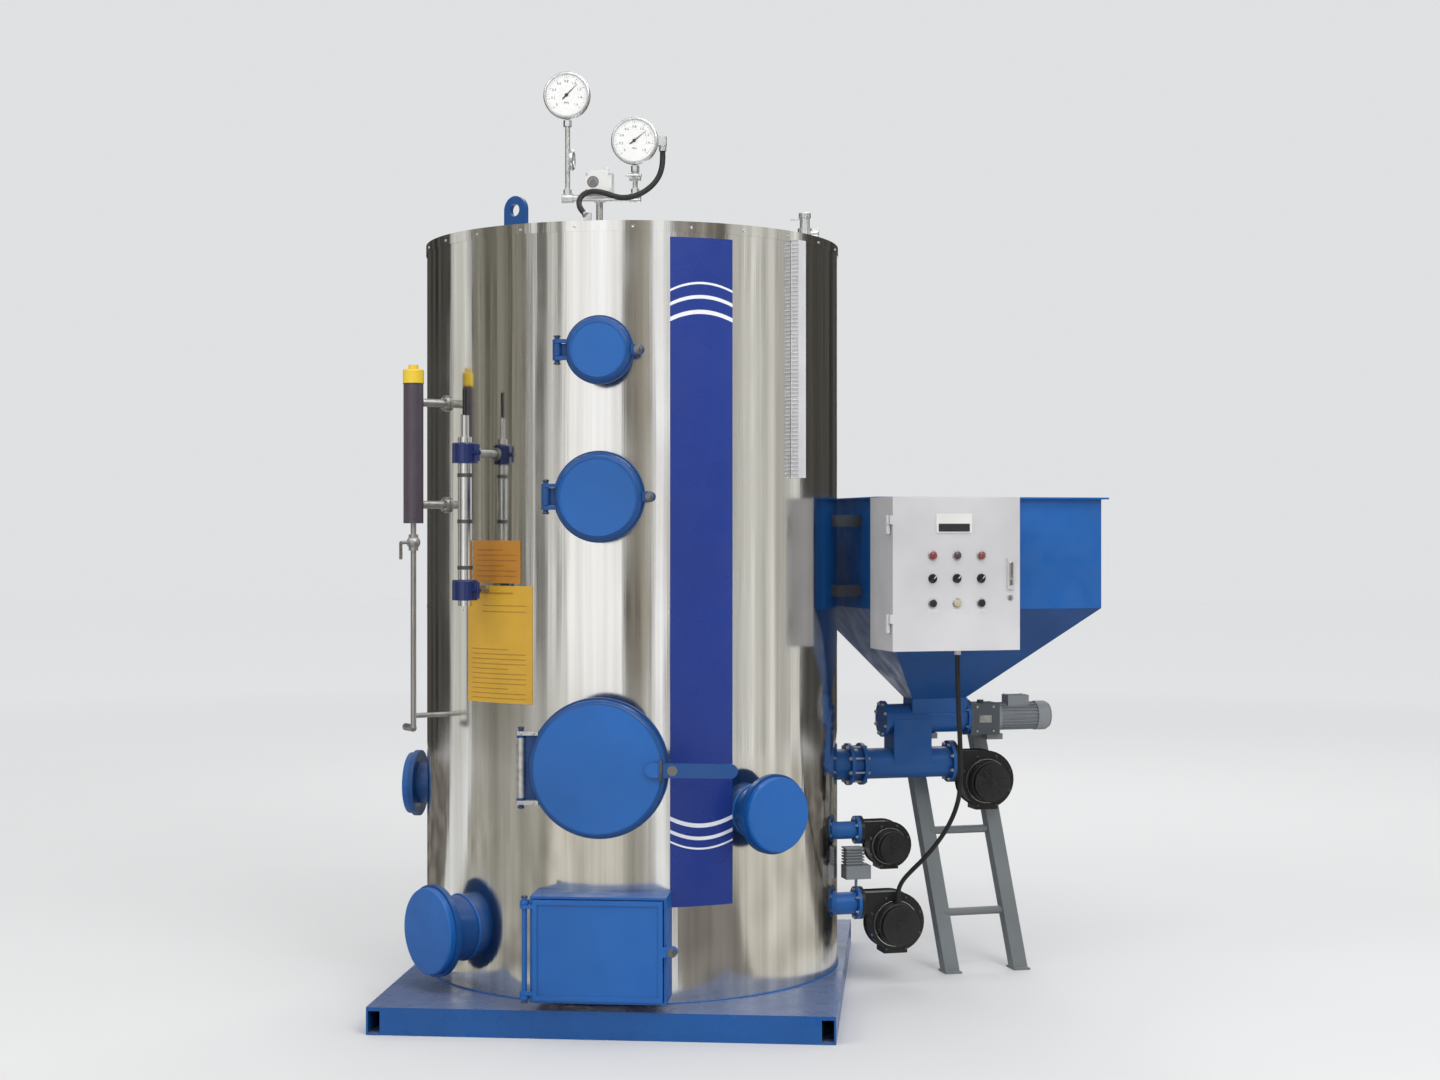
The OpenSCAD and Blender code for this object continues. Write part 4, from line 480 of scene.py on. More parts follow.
# %% Modelling helpers
SHARP_EDGE = math.radians(35)


def alone(piece):
    """Selects one piece and makes it the active one."""
    bpy.ops.object.select_all(action="DESELECT")
    piece.select_set(True)
    bpy.context.view_layer.objects.active = piece
    return piece


@contextmanager
def editing(piece):
    """Edit mode on one piece alone, with its faces selectable in code."""
    alone(piece)
    bpy.ops.object.mode_set(mode="EDIT")
    bpy.context.tool_settings.mesh_select_mode = (False, False, True)
    bpy.ops.mesh.select_all(action="DESELECT")
    yield
    bpy.ops.object.mode_set(mode="OBJECT")


def pick_faces(piece, wanted):
    """Selects just the faces for which wanted(centre, normal) holds."""
    mesh = bmesh.from_edit_mesh(piece.data)
    for part in (*mesh.verts, *mesh.edges):
        part.select = False
    for face in mesh.faces:
        face.select_set(bool(wanted(face.calc_center_median(), face.normal)))
    bmesh.update_edit_mesh(piece.data)


def at_front(centre, normal):
    """Whether a face looks along -Y."""
    return normal.y < -0.95


def settle(piece):
    """Writes the object's place, turn and scale into its mesh."""
    bpy.ops.object.transform_apply(location=True, rotation=True, scale=True)
    return alone(piece)


def smooth(piece):
    """Smooth shading that keeps sharp edges."""
    alone(piece)
    bpy.ops.object.shade_smooth_by_angle(angle=SHARP_EDGE)
    return piece


def turn_to(piece, axis, place):
    """Turns a piece made along +Z so that it points along an axis, and moves it to a place."""
    turn = Vector((0, 0, 1)).rotation_difference(Vector(axis).normalized()).to_matrix().to_4x4()
    piece.data.transform(Matrix.Translation(Vector(place)) @ turn)
    return piece


def box_piece(name, size, centre, bevel=0.0, segments=2):
    """Block of that size with rounded edges."""
    bpy.ops.object.select_all(action="DESELECT")
    bpy.ops.mesh.primitive_cube_add(size=1.0, location=centre)
    piece = bpy.context.active_object
    piece.name = name
    piece.scale = size
    settle(piece)
    if bevel:
        with editing(piece):
            bpy.ops.mesh.select_all(action="SELECT")
            bpy.ops.mesh.bevel(offset=bevel, segments=segments, affect="EDGES")
        smooth(piece)
    return piece


def disc_piece(name, radius, depth, centre=(0, 0, 0), axis=(0, -1, 0), sides=32, bevel=0.0, segments=2):
    """Round block whose outer face points along the axis and lies depth beyond the centre."""
    bpy.ops.object.select_all(action="DESELECT")
    middle = (0, 0, depth / 2)
    bpy.ops.mesh.primitive_cylinder_add(radius=radius, depth=depth, vertices=sides, location=middle)
    piece = bpy.context.active_object
    piece.name = name
    settle(piece)
    if bevel:
        with editing(piece):
            pick_faces(piece, lambda centre_, normal: normal.z > 0.9)
            bpy.ops.mesh.region_to_loop()
            bpy.ops.mesh.bevel(offset=bevel, segments=segments, affect="EDGES")
    return smooth(turn_to(piece, axis, centre))


def edge_line(name, points):
    """Open line of edges through points."""
    mesh = bpy.data.meshes.new(name)
    mesh.from_pydata(points, [(k, k + 1) for k in range(len(points) - 1)], [])
    return placed(name, mesh)


def spin_line(line, steps, angle):
    """Sweeps a line of edges about the boiler's axis."""
    with editing(line):
        bpy.context.tool_settings.mesh_select_mode = (True, False, False)
        bpy.ops.mesh.select_all(action="SELECT")
        bpy.ops.mesh.spin(steps=steps, angle=angle, center=(0, 0, 0), axis=(0, 0, 1))
    return line


def spun(name, profile, axis=(0, 0, 1), place=(0, 0, 0), steps=48):
    """Surface made by spinning an (r, z) profile about Z and turning it to an axis."""
    piece = spin_line(edge_line(name, [(r, 0.0, z) for r, z in profile]), steps, math.tau)
    with editing(piece):
        bpy.ops.mesh.select_all(action="SELECT")
        bpy.ops.mesh.remove_doubles(threshold=1e-6)
        bpy.ops.mesh.normals_make_consistent(inside=False)
    return smooth(turn_to(piece, axis, place))


def copied(first, places):
    """Copies of a piece with their own meshes, one moved by each matrix, in place of the piece itself."""
    copies = []
    for place in places:
        twin = first.copy()
        twin.data = first.data.copy()
        twin.data.transform(place)
        bpy.context.scene.collection.objects.link(twin)
        copies.append(twin)
    bpy.data.objects.remove(first)
    return copies


def joined(name, parts, body=None):
    """One piece from several, with all their finishes, on the body that it rides on."""
    bpy.ops.object.select_all(action="DESELECT")
    for part in parts:
        part.select_set(True)
    bpy.context.view_layer.objects.active = parts[0]
    if len(parts) > 1:
        bpy.ops.object.join()
    parts[0].name = name
    if body:
        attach(parts[0], body)
    return parts[0]


def finished(piece, finish, body="boiler"):
    """Gives a piece its finish and the body that it rides on."""
    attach(painted(piece, finish), body)
    return piece


def on_feeder(name, parts, body="boiler"):
    """One piece from parts made square to the axes, turned with the feeder."""
    piece = joined(name, parts, body)
    piece.data.transform(Matrix.Rotation(FEEDER_TURN, 4, "Z"))
    return piece


# %% [markdown]
# ## Banner and plates on the jacket
#
# A strip of blue film runs down the jacket beside the doors, and two plates are stuck on beside the level
# gauge. They follow the jacket's curve, so each is an upright edge spun about the boiler's axis and given a
# thickness. The film's white arcs are worked out in its finish from the piece's own x and z, as a print
# would be. Fine rules in a second tone run across the plates in rows.

# %% Curved sheets on the jacket
FILM_R = JACKET_R + 0.0006


def swept(name, ends, first, last, steps):
    """Strip swept by an edge, given at the front, from one azimuth to another in degrees."""
    start = Matrix.Rotation(math.radians(first), 3, "Z")
    line = edge_line(name, [start @ Vector(end) for end in ends])
    # A spin turns the other way round than a rotation matrix
    return spin_line(line, steps, math.radians(first - last))


def curved_sheet(name, radius, first, last, low, high, thickness, finish):
    """Sheet on an upright round wall, between two azimuths from the front in degrees."""
    steps = max(4, round(last - first))
    sheet = swept(name, [(0, -radius, low), (0, -radius, high)], first, last, steps)
    face = sheet.data.polygons[0]
    if face.normal.dot(face.center.xy.to_3d()) < 0:
        sheet.data.flip_normals()
    alone(sheet)
    solid = sheet.modifiers.new("solidify", "SOLIDIFY")
    solid.thickness = thickness
    solid.offset = 1.0
    bpy.ops.object.modifier_apply(modifier=solid.name)
    return finished(smooth(sheet), finish)


def film(name, ground, stripe, arcs, half_width, sag, centre):
    """Printed film with pale arcs: z - height = way * sag * (1 - (x / half_width)^2)."""
    finish, tree, shader = new_finish(name, roughness=0.28, specular=0.3)
    place = object_place(tree)
    aside = maths(tree, "SUBTRACT", part_of(tree, place, "X"), centre)
    across = maths(tree, "DIVIDE", aside, half_width)
    fall = maths(tree, "SUBTRACT", 1.0, maths(tree, "MULTIPLY", across, across))
    lines = 0.0
    for height, width, way in arcs:
        rise = maths(tree, "MULTIPLY", fall, way * sag)
        above = maths(tree, "SUBTRACT", part_of(tree, place, "Z"), height)
        lines = maths(tree, "MAXIMUM", lines, maths(tree, "COMPARE", above, rise, width / 2))
    tone = between(tree, noise_of(tree, 2.5), toned(ground, 0.85), ground)
    feed(tree, shader.inputs["Base Color"], mix_of(tree, lines, tone, stripe))
    shade(tree, shader, noise_of(tree, 8.0), "Roughness", 0.22, 0.36)
    bump(tree, shader, noise_of(tree, 9.0, (1, 1, 0.3), 1.0), 0.0010, 0.3)
    return finish


BANNER = (17.0, 34.0, 0.385, 2.470)
FILM_BLUE, FILM_WHITE = (0.018, 0.044, 0.255), (0.78, 0.80, 0.84)
ARC_SAG = 0.024
# Height and width of each arc, and 1 if it bends up or -1 if down
arc_lines = [
    (2.215, 0.013, 1), (2.262, 0.011, 1), (2.305, 0.007, 1),
    (0.660, 0.013, -1), (0.620, 0.011, -1), (0.588, 0.006, -1),
]
side_xs = [math.sin(math.radians(azimuth)) * JACKET_R for azimuth in BANNER[:2]]
banner_half = (side_xs[1] - side_xs[0]) / 2
banner_middle = math.sin(math.radians((BANNER[0] + BANNER[1]) / 2)) * JACKET_R
banner_print = film("banner_print", FILM_BLUE, FILM_WHITE, arc_lines, banner_half, ARC_SAG, banner_middle)
curved_sheet("banner", FILM_R, *BANNER, 0.0004, banner_print)

PLATE_T = 0.0008
orange_print = moulded("orange_print", (0.47, 0.195, 0.014), 0.40, PRINT_GRAIN)
yellow_print = moulded("yellow_print", (0.62, 0.350, 0.024), 0.40, PRINT_GRAIN)
rule_print = moulded("rule_print", (0.40, 0.20, 0.018), 0.40, PRINT_GRAIN)
faint_print = moulded("faint_print", (0.34, 0.13, 0.012), 0.40, PRINT_GRAIN)
curved_sheet("upper_plate", FILM_R, -39.0, -22.7, 1.390, 1.525, PLATE_T, orange_print)
curved_sheet("lower_plate", FILM_R, -41.2, -19.1, 1.012, 1.382, PLATE_T, yellow_print)

# First and last azimuth, height, width and finish of each rule
RULE_R, RULE_T = JACKET_R + 0.0018, 0.0002
rules = [(-38.5, -25.0, 1.356, 0.0050, rule_print), (-39.8, -36.5, 1.340, 0.0030, rule_print)]
for row in range(2):
    rules.append((-35.5, -21.0, 1.318 - row * 0.019, 0.0022, rule_print))
for row in range(11):
    rules.append((-39.5, -21.0 if row % 4 else -26.5, 1.180 - row * 0.0155, 0.0024, rule_print))
for row in range(6):
    rules.append((-37.5, -24.0 if row % 3 else -28.0, 1.494 - row * 0.0165, 0.0024, faint_print))
joined("plate_rules", [
    curved_sheet("plate_rule", RULE_R, first, last, z, z + width, RULE_T, finish)
    for first, last, z, width, finish in rules
])
print("a banner, two plates and", len(rules), "rules on the jacket")

# %% [markdown]
# ## Seams and screws of the jacket
#
# The sheet is rolled in two courses that meet half-way up, and each course closes on an upright lap. A slim
# raised band stands for each lap. Small pan-head screws hold the laps and the cover's lip. One screw is
# modelled: a short cylinder with a rounded edge and a recess cut by an inset face pushed in. It is then
# copied round.

# %% Jacket seams and screws
SCREW_R = 0.0042
SEAM_HALF, SEAM_T = 0.0030, 0.0009
LAPS = (150, 265)
LAP_WIDTH, LAP_MIDDLE = 1.9, 0.9
LIP_SCREWS, LIP_OUT, LIP_Z = 24, 0.0036, 2.500
LAP_SCREWS, LAP_LOW, LAP_STEP = 14, 0.160, 0.172


def pan_screw():
    """A low round screw head with a recess, facing -Y at the origin."""
    head = disc_piece("screw", SCREW_R, 0.0022, sides=12, bevel=0.0009)
    with editing(head):
        pick_faces(head, at_front)
        bpy.ops.mesh.inset(thickness=SCREW_R * 0.35)
        bpy.ops.transform.translate(value=(0, 0.0012, 0))
    return painted(head, zinc)


def round_wall(azimuth, radius, z):
    """Moves a piece from the origin, facing -Y, to a round wall at an azimuth."""
    return Matrix.Rotation(math.radians(azimuth), 4, "Z") @ Matrix.Translation((0, -radius, z))


bands = [(first, last, SEAM_Z - SEAM_HALF, SEAM_Z + SEAM_HALF)
         for first, last in ((-17.5, 16.9), (34.1, 128.0), (129.0, 316.5))]
bands += [(azimuth, azimuth + LAP_WIDTH, 0.092, 2.480) for azimuth in LAPS]
joined("jacket_seams", [curved_sheet("seam", JACKET_R, *band, SEAM_T, jacket_steel) for band in bands])

lip_azimuths = [360 * (k + 0.5) / LIP_SCREWS for k in range(LIP_SCREWS)]
screw_places = [round_wall(azimuth, JACKET_R + LIP_OUT, LIP_Z) for azimuth in lip_azimuths]
for azimuth in LAPS:
    for row in range(LAP_SCREWS):
        screw_z = LAP_LOW + row * LAP_STEP
        screw_places.append(round_wall(azimuth + LAP_MIDDLE, JACKET_R + SEAM_T, screw_z))
joined("jacket_screws", copied(pan_screw(), screw_places), "boiler")
print(len(screw_places), "screws in the jacket")

# %% [markdown]
# A slotted wiring duct stands on the jacket's right side, from the cover's lip down to the height of the
# hopper. One pitch of it is modelled, a short box whose two sides are inset and pushed in to make the
# slots. Its ends are left open, the pitches are stacked into one trunk, and the trunk is closed at its two
# ends.

# %% Wiring duct
DUCT_AZIMUTH = 55.5
DUCT_LOW, DUCT_HIGH = 1.726, 2.484
DUCT_PITCH = 0.0125
DUCT_WIDTH, DUCT_DEPTH, DUCT_GAP = 0.040, 0.030, 0.0005
SLOT_RIM, SLOT_DEPTH = 0.0032, 0.0025
duct_plastic = moulded("duct_plastic", (0.62, 0.62, 0.64), 0.42, 0.00002)

pitch_centre = (0, -(DUCT_GAP + DUCT_DEPTH / 2), DUCT_LOW + DUCT_PITCH / 2)
pitch = box_piece("duct_pitch", (DUCT_WIDTH, DUCT_DEPTH, DUCT_PITCH), pitch_centre)
with editing(pitch):
    pick_faces(pitch, lambda centre, normal: abs(normal.z) > 0.9)
    bpy.ops.mesh.delete(type="ONLY_FACE")
    pick_faces(pitch, lambda centre, normal: abs(normal.x) > 0.9)
    bpy.ops.mesh.inset(thickness=SLOT_RIM, use_individual=True)
    bpy.ops.transform.shrink_fatten(value=-SLOT_DEPTH)
rows = range(round((DUCT_HIGH - DUCT_LOW) / DUCT_PITCH))
pitches = copied(pitch, [Matrix.Translation((0, 0, row * DUCT_PITCH)) for row in rows])
wiring_duct = joined("wiring_duct", pitches)
with editing(wiring_duct):
    bpy.ops.mesh.select_all(action="SELECT")
    bpy.ops.mesh.remove_doubles(threshold=1e-5)
    bpy.ops.mesh.fill_holes(sides=0)
    bpy.ops.mesh.normals_make_consistent(inside=False)
wiring_duct.data.transform(round_wall(DUCT_AZIMUTH, JACKET_R, 0))
finished(wiring_duct, duct_plastic)
print("wiring duct of", len(pitches), "pitches")

# %% [markdown]
# ## Hinged doors
#
# Each round door is a dished plate with hinge knuckles on its left and a swing bolt on its right. The fire
# door is the heaviest: bright straps cover its hinge ears, and its handle starts from a dark bracket at the
# edge. The trim here is what a hand finds up close, namely pin heads, straps, their bolts and the beads of
# weld.

# %% Nuts and washers
def bolt_head(across, finish):
    """Hexagonal nut with a bolt's end in its middle, on its washer, facing -Y at the origin."""
    height, lip = across * 0.45, across * 0.10
    nut = disc_piece("nut", across / math.sqrt(3), height, sides=6, bevel=height * 0.12, segments=1)
    with editing(nut):
        pick_faces(nut, at_front)
        bpy.ops.mesh.inset(thickness=across * 0.20)
        bpy.ops.mesh.extrude_region_move(TRANSFORM_OT_translate={"value": (0, -height * 0.35, 0)})
    nut.data.transform(Matrix.Translation((0, -lip, 0)))
    washer = disc_piece("washer", across * 0.62, lip, sides=20, bevel=lip * 0.3)
    return joined("bolt_head", [painted(nut, finish), painted(washer, finish)])


# Height, hinge pin (x, y) and half the pin's length of each door
DOOR_PINS = {
    "upper_door": (2.110, -0.130, -0.790, 0.040),
    "middle_door": (1.660, -0.165, -0.790, 0.048),
    "fire_door": (0.830, -0.240, -0.800, 0.120),
    "ash_door": (0.276, -0.227, -0.815, 0.159),
}
print("doors:", ", ".join(DOOR_PINS))

# %% [markdown]
# The doors wear the blue paint, but their bolts, nuts and washers are bare steel. Each door is one CAD
# part, so its finish tells the two apart by place: what lies in front of the latch lug and close to the
# bolt's axis is steel. The rim of a round door is painted a deeper blue, as painted shade. On the two upper
# doors that painted shade starts at a raised ring that catches the light.

# %% Finish and ring of each door
LUG_STEP = 0.0143
BOLT_REACH = 0.0155
BOLT_TONE = (0.24, 0.24, 0.24)


def door_finish(door, bolt_x, seat, shade_from):
    """Blue paint, painted shade in a darker blue beyond shade_from of the middle, a steel latch bolt."""
    finish = enamel(f"{door}_finish", BLUE)
    tree = finish.node_tree
    shader = tree.nodes["Principled BSDF"]
    place = object_place(tree)
    z = DOOR_PINS[door][0]

    def far_from(x, reach):
        """1 beyond reach of the upright plane's point (x, z), else 0."""
        flat = add_node(tree, "Mapping", {"Vector": place, "Scale": (1, 0, 1), "Location": (-x, 0, -z)})
        return maths(tree, "GREATER_THAN", length_of(tree, flat.outputs["Vector"]), reach)

    in_front = maths(tree, "LESS_THAN", part_of(tree, place, "Y"), -(seat + LUG_STEP) - 0.0002)
    on_bolt = maths(tree, "SUBTRACT", in_front, far_from(bolt_x, BOLT_REACH), use_clamp=True)
    paint = shader.inputs["Base Color"].links[0].from_socket
    # Painted shade: the door's rim is mixed to the darker, shaded blue
    paint = mix_of(tree, far_from(0, shade_from), paint, SHADED_BLUE)
    feed(tree, shader.inputs["Base Color"], mix_of(tree, on_bolt, paint, BOLT_TONE))
    feed(tree, shader.inputs["Metallic"], on_bolt)
    painted(nodes[door], finish)


# Radius, seat and face of each round door
ROUND_DOORS = {
    "upper_door": (0.100, 0.790, 0.8183),
    "middle_door": (0.135, 0.790, 0.8183),
    "fire_door": (0.210, 0.800, 0.8383),
}
for door, (radius, seat, face) in ROUND_DOORS.items():
    rim = radius - 0.014
    door_finish(door, radius + 0.022, seat, rim)
    if door != "fire_door":
        profile = [(rim - 0.0045, 0), (rim - 0.0035, 0.0022), (rim - 0.0010, 0.0026), (rim, 0.0018), (rim, 0)]
        ring = spun(f"{door}_ring", profile, axis=(0, -1, 0), place=(0, -face, DOOR_PINS[door][0]), steps=72)
        finished(ring, blue_enamel, door)
# The ash door is square, so the painted shade of its rim starts beyond its corners
door_finish("ash_door", 0.228, 0.815, 1.0)
print("finishes for", len(ROUND_DOORS) + 1, "doors")

# %% Pin heads
PIN_HEAD = [(0, 0.0055), (0.007, 0.0055), (0.0105, 0.0035), (0.0105, 0), (0, 0)]
for door, (z, pin_x, pin_y, half) in DOOR_PINS.items():
    top = Matrix.Translation((pin_x, pin_y, z + half))
    bottom = Matrix.Translation((pin_x, pin_y, z - half)) @ Matrix.Rotation(math.pi, 4, "X")
    pin_head = painted(spun("pin_head", PIN_HEAD, steps=20), dark_steel)
    joined(f"{door}_pin_heads", copied(pin_head, [top, bottom]), door)
print("pin heads on", len(DOOR_PINS), "doors")

# %% Straps, sleeve and handle bracket of the fire door
FIRE_Z, HINGE_X, HINGE_Y = DOOR_PINS["fire_door"][:3]
EAR_FACE = -0.8143
STRAP_UP = 0.106
SLEEVE_R, SLEEVE_HALF = 0.0150, 0.092
straps = []
for z in (FIRE_Z - STRAP_UP, FIRE_Z + STRAP_UP):
    strap = box_piece("strap", (0.066, 0.002, 0.0125), (-0.2175, EAR_FACE - 0.001, z), 0.0006, 1)
    straps.append(painted(strap, zinc))
    for x in (-0.238, -0.200):
        bolt = bolt_head(0.0085, zinc)
        bolt.data.transform(Matrix.Translation((x, EAR_FACE - 0.002, z)))
        straps.append(bolt)
joined("fire_door_straps", straps, "fire_door")

inner = SLEEVE_R - 0.0008
sleeve_wall = [(inner, -SLEEVE_HALF), (SLEEVE_R, -SLEEVE_HALF), (SLEEVE_R, SLEEVE_HALF), (inner, SLEEVE_HALF)]
finished(spun("fire_hinge_sleeve", sleeve_wall, place=(HINGE_X, HINGE_Y, FIRE_Z), steps=32), zinc)
bracket = box_piece("handle_bracket", (0.010, 0.016, 0.062), (0.197, -0.8465, FIRE_Z), 0.002)
finished(bracket, dark_steel, "fire_door")
print("fire door trim:", len(straps), "pieces on its straps")

# %% [markdown]
# Beads of weld run round every neck where it meets the jacket, and along the foot of the jacket on the
# deck. A bead on a round wall is a closed line on that wall, so its points are worked out from the neck's
# radius and the jacket's, and the bead is swept along it as a thin curve that is then made a mesh.

# %% Weld beads round the necks
NECK_POINTS, FOOT_POINTS = 72, 180
FOOT_R = 0.7015
NECK_BEAD_R, FOOT_BEAD_R = 0.0035, 0.003


def weld_bead(name, points, radius):
    """Thin round bead along a closed line of points, as a mesh."""
    bead = alone(round_line(name, points, radius, 2))
    bead.data.splines[0].use_cyclic_u = True
    bpy.ops.object.convert(target="MESH")
    return painted(bpy.context.active_object, blue_enamel)


def neck_line(azimuth, z, radius, wall):
    """Line on which a round neck of that radius meets the upright round wall."""
    turn = Matrix.Rotation(math.radians(azimuth), 3, "Z")
    points = []
    for step in range(NECK_POINTS):
        angle = math.tau * step / NECK_POINTS
        across, up = radius * math.cos(angle), radius * math.sin(angle)
        points.append(turn @ Vector((across, -math.sqrt(wall**2 - across**2), z + up)))
    return points


# Azimuth, height and radius of each neck
NECKS = [(0, 2.110, 0.072), (0, 1.660, 0.107), (0, 0.830, 0.182), (-45, 0.280, 0.103), (41, 0.670, 0.082),
         (-92, 0.680, 0.070), (110, 0.733, 0.054)]
neck_lines = [neck_line(azimuth, z, radius + 0.0015, JACKET_R + 0.001) for azimuth, z, radius in NECKS]
beads = [weld_bead("neck_bead", line, NECK_BEAD_R) for line in neck_lines]
foot_angles = [math.tau * k / FOOT_POINTS for k in range(FOOT_POINTS)]
foot_ring = [Vector((FOOT_R * math.cos(a), FOOT_R * math.sin(a), DECK_Z + 0.001)) for a in foot_angles]
beads.append(weld_bead("foot_bead", foot_ring, FOOT_BEAD_R))
joined("weld_beads", beads, "boiler")
print(len(beads), "weld beads")

# %% [markdown]
# ## Pressure gauges
#
# Each gauge is a round case with a white dial set back behind its rim. A flat disc makes the dial. Its
# scale is one tick modelled as a thin block and copied round on a fan of 270 degrees, longer at every fifth
# place, with plain numbers at the long ones. The needle is a tapered blade on a turned hub, and a thin
# glass lies over all.

# %% Dials
DIAL_R = 0.0665
DIAL_Y = -0.4650
DIAL_FAN = 270
DIAL_TICKS = 40
DIAL_NUMBERS = ["0", "0.2", "0.4", "0.6", "0.8", "1.0", "1.2", "1.4", "1.6"]
NUMBER_R = 0.044
# How far in front of the dial's back the print and the needle lie
PRINT_OUT, NEEDLE_OUT, GLASS_OUT = 0.0009, 0.0022, 0.0031


def on_fan(k, count):
    """Angle of the k-th of count steps round the dial's scale."""
    return math.radians(DIAL_FAN * (k / count - 0.5))


def number_piece(text, size, x, z):
    """Flat number facing -Y on a dial."""
    bpy.ops.object.select_all(action="DESELECT")
    bpy.ops.object.text_add()
    words = bpy.context.active_object
    words.data.body = text
    words.data.size = size
    words.data.align_x = "CENTER"
    words.data.align_y = "CENTER"
    words.data.extrude = 0.0001
    words.data.resolution_u = 2
    bpy.ops.object.convert(target="MESH")
    words = bpy.context.active_object
    words.data.transform(Matrix.Translation((x, -PRINT_OUT, z)) @ Matrix.Rotation(math.pi / 2, 4, "X"))
    return painted(words, mark_black)


def clear_cover(glass):
    """Finishes a glass that lets light through to the dial, as thin glass does."""
    finished(glass, gauge_glass)
    glass.visible_shadow = False
    glass.visible_diffuse = False


def dial_piece(name, centre_x, centre_z, needle_degrees):
    """Dial with its scale, numbers, needle, hub and glass."""
    parts = [painted(disc_piece(name, DIAL_R, 0.0008, sides=64), dial_white)]
    for k in range(DIAL_TICKS + 1):
        width, length = (0.0006, 0.005) if k % 5 else (0.0011, 0.009)
        tick = box_piece("tick", (width, 0.0002, length), (0, -PRINT_OUT, DIAL_R - 0.004 - length / 2))
        tick.data.transform(Matrix.Rotation(on_fan(k, DIAL_TICKS), 4, "Y"))
        parts.append(painted(tick, mark_black))
    for k, text in enumerate(DIAL_NUMBERS):
        angle = on_fan(k, len(DIAL_NUMBERS) - 1)
        parts.append(number_piece(text, 0.0115, NUMBER_R * math.sin(angle), NUMBER_R * math.cos(angle)))
    parts.append(number_piece("MPa", 0.010, 0, -0.026))
    blade = box_piece("needle", (0.0050, 0.0006, 0.068), (0, -NEEDLE_OUT, 0.016))
    with editing(blade):
        pick_faces(blade, lambda centre, normal: normal.z > 0.9)
        bpy.ops.transform.resize(value=(0.15, 1, 1), center_override=(0, -NEEDLE_OUT, 0.05))
    blade.data.transform(Matrix.Rotation(math.radians(needle_degrees), 4, "Y"))
    parts.append(painted(blade, mark_black))
    hub = disc_piece("hub", 0.0055, 0.0030, (0, -0.0008, 0), sides=24, bevel=0.001)
    parts.append(painted(hub, mark_black))
    dial = joined(name, parts, "boiler")
    dial.data.transform(Matrix.Translation((centre_x, DIAL_Y, centre_z)))
    pane = [(0, 0.0), (0, 0.0008), (DIAL_R, 0.0008), (DIAL_R, 0.0)]
    clear_cover(spun(f"{name}_glass", pane, axis=(0, -1, 0), place=(centre_x, DIAL_Y - GLASS_OUT, centre_z)))


dial_piece("left_dial", -0.154, 2.959, 45)
dial_piece("right_dial", 0.066, 2.809, 52)
print("dials with", DIAL_TICKS + 1, "marks each")

# %% [markdown]
# The pressure controller beside the manifold is a pale box with a round window. Behind the glass is a small
# dark scale with pale ticks and a red pointer, and four screws hold the lid.

# %% Controller window and screws
WINDOW = Vector((-0.0672, -0.4720, 2.6763))
LID_Y = -0.475
scale_grey = moulded("scale_grey", (0.085, 0.092, 0.098), 0.5, PRINT_GRAIN)


def in_window(piece, degrees):
    """Turns a piece made upright at the origin and moves it to the window's middle."""
    turn = Matrix.Rotation(math.radians(degrees), 4, "Y")
    piece.data.transform(Matrix.Translation((WINDOW.x, 0, WINDOW.z)) @ turn)
    return piece


scale_parts = [painted(disc_piece("controller_scale", 0.0185, 0.0006, WINDOW, sides=40), scale_grey)]
for k in range(9):
    tick = box_piece("controller_tick", (0.0009, 0.0002, 0.005), (0, WINDOW.y - 0.0007, 0.0125))
    scale_parts.append(painted(in_window(tick, 25 * k - 100), dial_white))
pointer = box_piece("controller_pointer", (0.0012, 0.0003, 0.017), (0, WINDOW.y - 0.0010, 0.0065))
scale_parts.append(painted(in_window(pointer, -40), mark_red))
joined("controller_dial", scale_parts, "boiler")
pane_place = WINDOW - Vector((0, 0.0018, 0))
clear_cover(disc_piece("controller_glass", 0.0187, 0.0007, pane_place, sides=40))

lid_corners = [Matrix.Translation((x, LID_Y, z)) for x in (-0.087, -0.013) for z in (2.6510, 2.7020)]
joined("controller_screws", copied(pan_screw(), lid_corners), "boiler")
print("controller window at", [round(v, 4) for v in WINDOW])

# %% [markdown]
# ## Bolted flanges of the feeder
#
# The feed tube, the trough and the blower stubs are joined by round flanges. A pair of flanges is clamped
# by through studs with a nut at each end, and a single flange shows only its nuts. One nut is modelled
# facing -Y, turned to face along the feeder, and copied round each flange.

# %% Bolt circles
FEED_CIRCLE = 0.0645
STUD_FROM, STUD_TO = 0.782, 0.818


def facing_feeder(way):
    """Turns a piece that faces -Y so that it faces along the feeder's own X, or against it."""
    return Matrix.Rotation(math.pi / 2 * way, 4, "Z")


def ring_of(count, radius):
    """Places (across, up) on a ring, the first of them half a pitch up from the side."""
    angles = [math.tau * (k + 0.5) / count for k in range(count)]
    return [(radius * math.cos(angle), radius * math.sin(angle)) for angle in angles]


